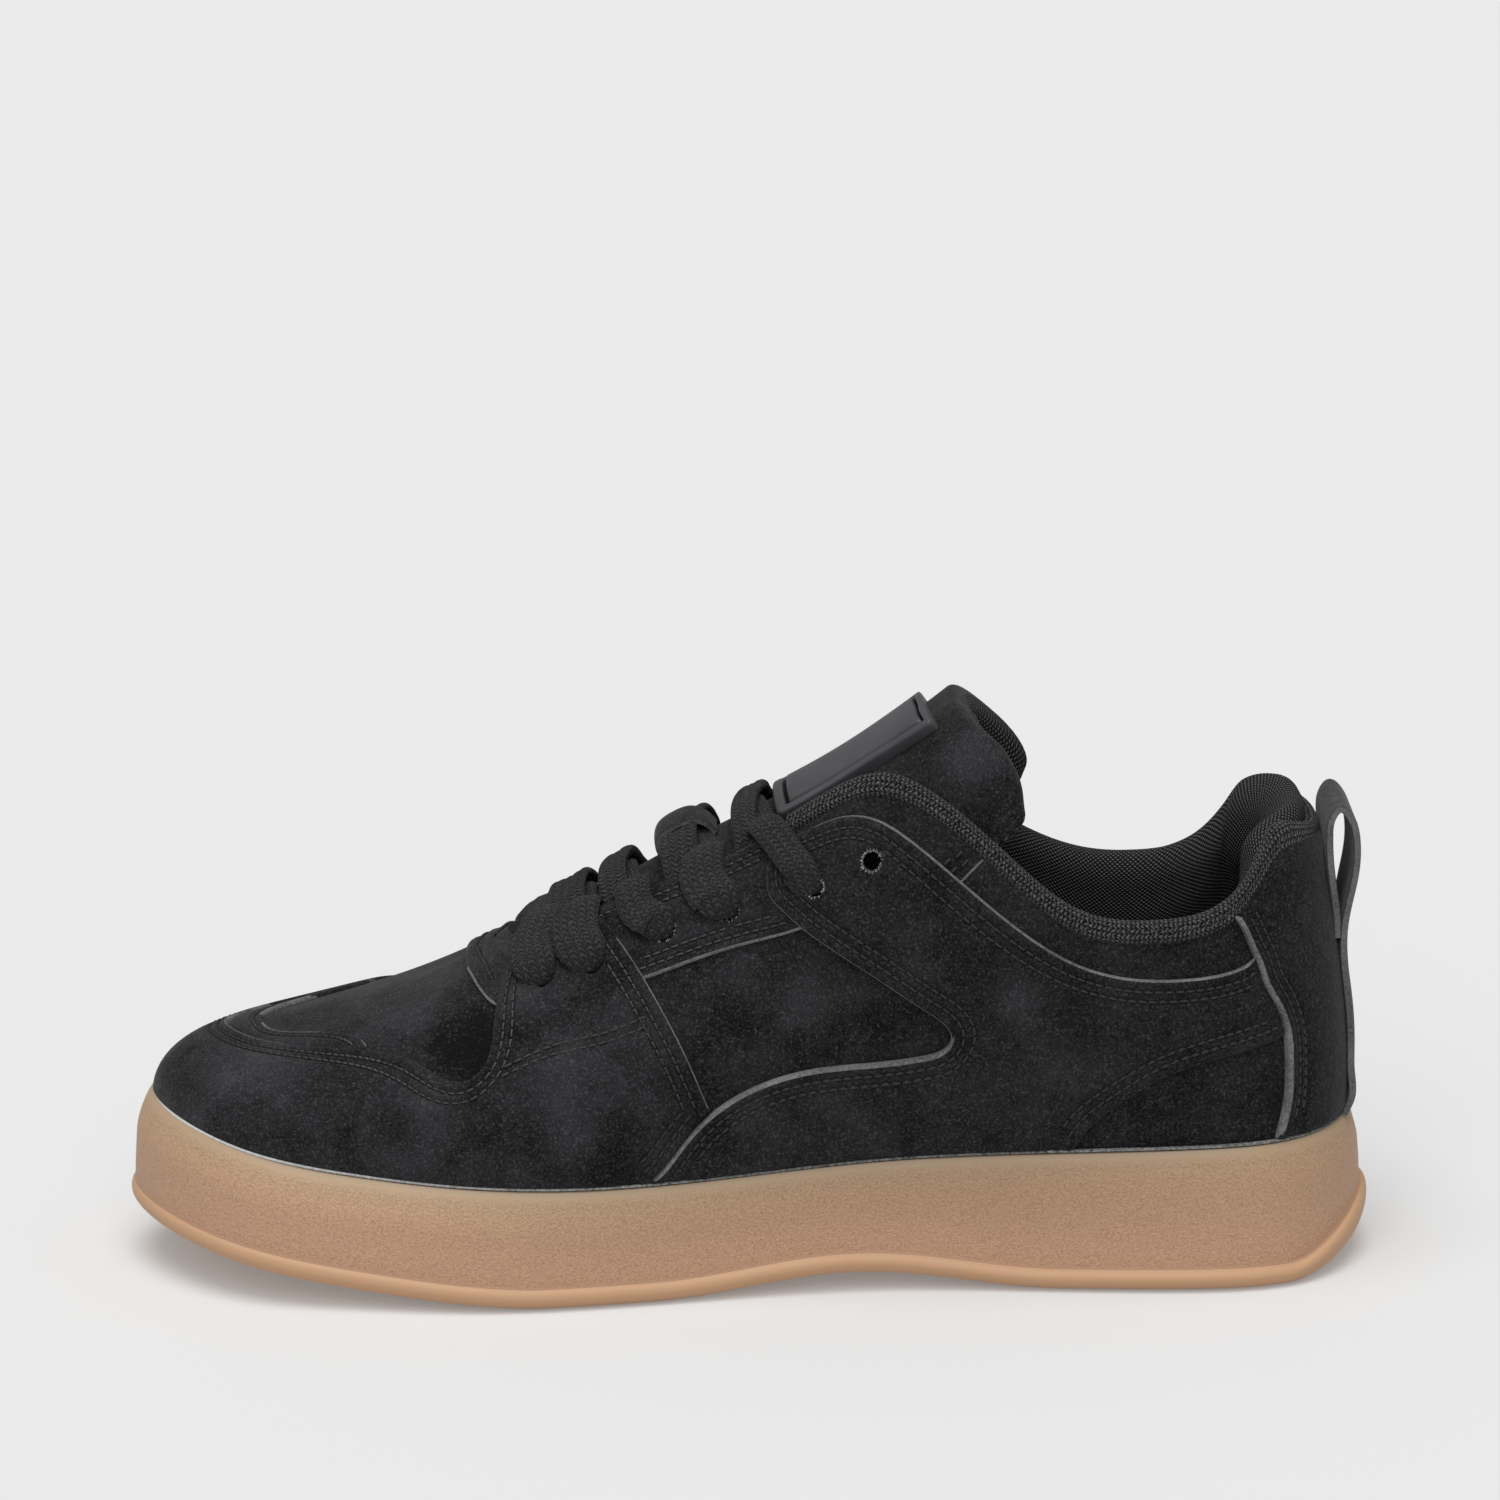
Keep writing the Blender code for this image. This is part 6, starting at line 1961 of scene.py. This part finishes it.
def build_band(name, rows, thick, finishes, stands_for):
    """A strap from its middle surface: two faces, and raw edges along both sides and ends."""
    columns = rows.shape[1]
    front, back = strap_sections(rows, thick, columns)
    u = lengths_along(rows[len(rows) // 2])
    v = lengths_along(rows[:, columns // 2])
    shape = Shape()
    for face in (front, back):
        shape.grid(face, u, v)
    for edge in (0, -1):
        shape.grid(np.stack([front[:, edge], back[:, edge]]), v, np.array([0.0, thick]), 1)
        shape.grid(np.stack([front[edge], back[edge]]), u, np.array([0.0, thick]), 1)
    return shape.make(name, finishes, stands_for)


def build_keeper():
    """A short leather strap along the tongue that arches over the crossing of one lace."""
    count, columns = 70, 15
    arch = np.array([(row.x, row.rise) for row in KEEPER])
    knots = lengths_along(arch)
    path = spline(knots, arch)(np.linspace(0, knots[-1], count))
    across = np.linspace(-1, 1, columns)
    rows = []
    for x, lift in path:
        along = tongue_share(x)
        shares = across * KEEPER_HALF_WIDTH / half_arc(along)
        rows.append(tongue_face(np.full(columns, along), shares, max(lift, 0.0001) + KEEPER_THICK / 2))
    finishes = [NUBUCK, FELT_EDGE]
    build_band("keeper_strap", np.array(rows), KEEPER_THICK, finishes, ["lace_keeper"])


# The strap on the heel: share of the way up the upper, metres over it
STRAP_ON_HEEL = ((0.005, 0.0010), (0.06, 0.0026), (0.12, STRAP_LIE), (0.24, STRAP_LIE), (0.36, STRAP_LIE))
# How much the heel narrows from the foot up, as a share
HEEL_TAPER = 0.36
# Points of the strap: guiding ones across it, then along and across its finished surface
STRAP_GUIDES = 9
STRAP_ROWS = 180
STRAP_COLUMNS = 25


def build_strap():
    """Strap that lies up the heel, stands off as a pull loop and is tucked back behind itself."""
    across = np.linspace(-1, 1, STRAP_GUIDES)
    centre = STRAP_GUIDES // 2
    rows = []
    for share, lie in STRAP_ON_HEEL:
        spread = across * STRAP_WIDTH / 2 / (1 - HEEL_TAPER * share)
        row = skin(spread, share, lie)
        row[:, 0] += STRAP_FLAT * (row[centre, 0] - row[:, 0])
        row[:, 1] = across * STRAP_WIDTH / 2
        rows.append(row)
    skews = [0.0] * len(rows)
    for free in PULL:
        row = np.zeros((STRAP_GUIDES, 3))
        row[:, 0] = LENGTH * (0.5 - free.along / 100)
        row[:, 1] = across * STRAP_WIDTH / 2
        row[:, 2] = free.up * HEEL_HEIGHT / 100
        rows.append(row)
        skews.append(free.skew)
    rows = np.array(rows)
    rows[:, :, 0] -= np.outer(skews, (across + 1) / 2)
    knots = lengths_along(rows[:, centre])
    path = spline(knots, rows.reshape(len(rows), -1))(np.linspace(0, knots[-1], STRAP_ROWS))
    path = path.reshape(STRAP_ROWS, STRAP_GUIDES, 3).transpose(1, 0, 2).reshape(STRAP_GUIDES, -1)
    path = spline(np.linspace(0, 1, STRAP_GUIDES), path)(np.linspace(0, 1, STRAP_COLUMNS))
    path = path.reshape(STRAP_COLUMNS, STRAP_ROWS, 3).transpose(1, 0, 2)
    build_band("pull_strap", path, STRAP_THICK, [NUBUCK_SMOOTH, FELT_EDGE], ["heel_loop"])


def eyelet_at(row, side):
    """Place and share of an eyelet row, also between rows and one row in front of the first."""
    rows = np.arange(-1, len(EYELETS))
    ahead = 2 * EYELETS[0].station - EYELETS[1].station
    station = np.interp(row, rows, [ahead] + [eyelet.station for eyelet in EYELETS])
    share = np.interp(row, rows, [EYELETS[0].share] + [eyelet.share for eyelet in EYELETS])
    return place(on_side(station, side)), share


# A lace's way out of its eyelet: share of its lean toward the toe, share up from the eyelet, metres over the
# upper
LACE_EXIT = named_rows(
    "lean up lift",
    (0.0, -0.005, -0.0032),
    (0.0, 0.004, 0.0012),
    (0.12, 0.06, LACE_LIE + 0.0008),
)
# Metres over the upper halfway to the throat's edge and at that edge
LACE_HALFWAY = LACE_LIE + 0.0002
LACE_EDGE = LACE_LIE - 0.0004


def lace_over_stay(row, side):
    """From inside an eyelet up over the edge of the throat, leaning toward the toe."""
    lean = LACES[row].lean
    _, low = eyelet_at(row, side)
    guide = []
    for spot in LACE_EXIT:
        where, _ = eyelet_at(row - spot.lean * lean, side)
        guide.append(skin(where, low + spot.up, spot.lift)[0])
    middle, share = eyelet_at(row - 0.5 * lean, side)
    edge, _ = eyelet_at(row - lean, side)
    guide.append(skin(middle, 0.5 * (share + 1), LACE_HALFWAY)[0])
    guide.append(skin(edge, 1.0, LACE_EDGE)[0])
    return guide


# Points in a lace's section and along it, and how far its stitches stand out
LACE_SECTION = 48
LACE_STEPS = 220
LACE_RELIEF = 0.00012
# A crossing strand: share across the tongue on either side of its middle, then shares and metres over the
# tongue where it goes under the far edge
LACE_BESIDE = 0.4
LACE_UNDER = ((0.72, 0.0022), (0.97, 0.0008))


def add_lace(shape, guide, width, holes):
    """A fat flat knitted lace swept along a path, folded round and narrow where it enters a hole."""
    guide = np.array(guide)
    knots = lengths_along(guide)
    travel = np.linspace(0, knots[-1], LACE_STEPS)
    path = spline(knots, guide)(travel)
    run = unit(np.gradient(path, axis=0))
    shares = tongue_share(path[:, 0])
    ahead = TONGUE_LINE(np.minimum(shares + 0.02, 1))[:, :3]
    behind = TONGUE_LINE(np.maximum(shares - 0.02, 0))[:, :3]
    wide = ahead - behind
    wide = unit(wide - (wide * run).sum(axis=1)[:, None] * run)
    face = np.cross(run, wide)
    open_share = np.ones(LACE_STEPS)
    shift = np.zeros(LACE_STEPS)
    for end in holes:
        away = travel if end == 0 else travel[-1] - travel
        fold = np.clip((away - LACE_TUCK) / (0.5 * width), 0, 1)
        open_share = np.minimum(open_share, rounded(fold))
        bulge = np.clip((LACE_TUCK + 2.2 * width - away) / (1.5 * width), 0, 1)
        shift = np.maximum(shift, LACE_SHIFT * width * smooth(bulge))
    half = 0.5 * (LACE_HOLE_WIDTH + (width - LACE_HOLE_WIDTH) * open_share)
    cup = 0.45 + 0.9 * (1 - open_share)
    cosines, sines = polygon(LACE_SECTION)
    flat = boxed(cosines, BOXY)
    column = np.abs((flat * width / 2 / LACE_COLUMN + 0.5) % 1 - 0.5)
    loops = np.sin(math.tau * (travel[:, None] / LACE_LOOP + 0.85 * column))
    relief = LACE_RELIEF * (loops - 6 * column**2)
    thick = np.sign(sines) * (np.abs(sines) ** 0.75 * LACE_THICK / 2 + relief)
    bend = cup[:, None] * flat
    out = (half / cup)[:, None] * np.sin(bend) + thick * np.sin(bend) - (shift * open_share)[:, None]
    lift = (half / cup)[:, None] * (np.cos(bend) - 1) + thick * np.cos(bend)
    points = path[:, None] + out[:, :, None] * wide[:, None] - lift[:, :, None] * face[:, None]
    middle = points[LACE_STEPS // 2]
    ring = lengths_along(middle)
    u = np.append(ring, ring[-1] + np.linalg.norm(middle[0] - middle[-1]))
    shape.grid(points, u, travel, wrap_columns=True, turned=True)
    end_caps(shape, points)


def build_laces():
    """A straight bar at the front, then crossings that come from under the far edge to the next eyelets."""
    bar = LACES[0]
    near = lace_over_stay(0, -1)
    far = lace_over_stay(0, 1)
    share = tongue_share(0.5 * (near[-1][0] + far[-1][0]))
    shape = Shape()
    add_lace(shape, near + [tongue_face(share, 0.0, bar.rise)[0]] + far[::-1], bar.width, (0, 1))
    shape.make("lace_bar_weave", [LACE_WEAVE], [bar.name])
    for row, lace in enumerate(LACES[1:], 1):
        shape = Shape()
        strands = ((-1, lace.rise, lace.width), (1, lace.over, FAR_STRAND * lace.width))
        for side, rise_over, width in strands:
            guide = lace_over_stay(row, side)
            start = skin(eyelet_at(row - LACE_START, -side)[0], 1.0)[0]
            middle = tongue_share(0.5 * (guide[-1][0] + start[0]))
            low = tongue_share(start[0])
            high = tongue_share(guide[-1][0])
            guide.append(tongue_face(0.5 * (middle + high), side * LACE_BESIDE, rise_over)[0])
            guide.append(tongue_face(middle, 0.0, rise_over)[0])
            guide.append(tongue_face(0.5 * (middle + low), -side * LACE_BESIDE, rise_over)[0])
            for across, lift in LACE_UNDER:
                guide.append(tongue_face(low, -side * across, lift)[0])
            add_lace(shape, guide, width, (0,))
        shape.make(lace.name + "_weave", [LACE_WEAVE], [lace.name])


def build_stage():
    """Pale floor, even soft light and the camera."""
    mesh = bpy.data.meshes.new("floor")
    corners = [(FLOOR_REACH * x, FLOOR_REACH * y, 0) for x, y in ((-1, -1), (1, -1), (1, 1), (-1, 1))]
    mesh.from_pydata(corners, [], [(0, 1, 2, 3)])
    mesh.materials.append(pale_floor())
    floor = add_object("floor", mesh)
    world = bpy.data.worlds.new("studio")
    world.use_nodes = True
    sky = world.node_tree.nodes["Background"]
    sky.inputs["Color"].default_value = WHITE
    sky.inputs["Strength"].default_value = SKY_STRENGTH
    bpy.context.scene.world = world
    for name, strength, spread, angles in LAMPS:
        light = bpy.data.lights.new(name, "SUN")
        light.energy = strength
        light.angle = math.radians(spread)
        lamp = add_object(name, light)
        lamp.rotation_euler = [math.radians(angle) for angle in angles]
    azimuth = math.radians(CAMERA_AZIMUTH)
    elevation = math.radians(CAMERA_ELEVATION)
    back = Vector((
        math.sin(azimuth) * math.cos(elevation),
        -math.cos(azimuth) * math.cos(elevation),
        math.sin(elevation),
    ))
    lens = bpy.data.cameras.new("camera")
    lens.lens = CAMERA_LENS
    lens.sensor_width = CAMERA_SENSOR
    camera = add_object("camera", lens)
    camera.location = Vector(CAMERA_AIM) + CAMERA_DISTANCE * back
    camera.rotation_euler = back.to_track_quat("Z", "Y").to_euler()
    bpy.context.scene.camera = camera
    bpy.context.scene.view_settings.view_transform = "Standard"


# Soft even sky, a sun almost overhead that keeps the shadow close, and a fill from the viewer's side that
# throws its shadow behind the shoe: strength, spread and tilt in degrees
SKY_STRENGTH = 0.34
LAMPS = (
    ("overhead", 1.95, 44, (9, -4, 0)),
    ("front_fill", 1.18, 50, (50, 0, -5)),
)

build_stage()
build_sole()
build_footbed()
build_upper()
build_panels()
build_fray()
build_hole_shade()
build_collar_seam()
build_welt()
build_tape()
build_lining()
build_tongue()
build_patch()
build_keeper()
build_strap()
build_laces()
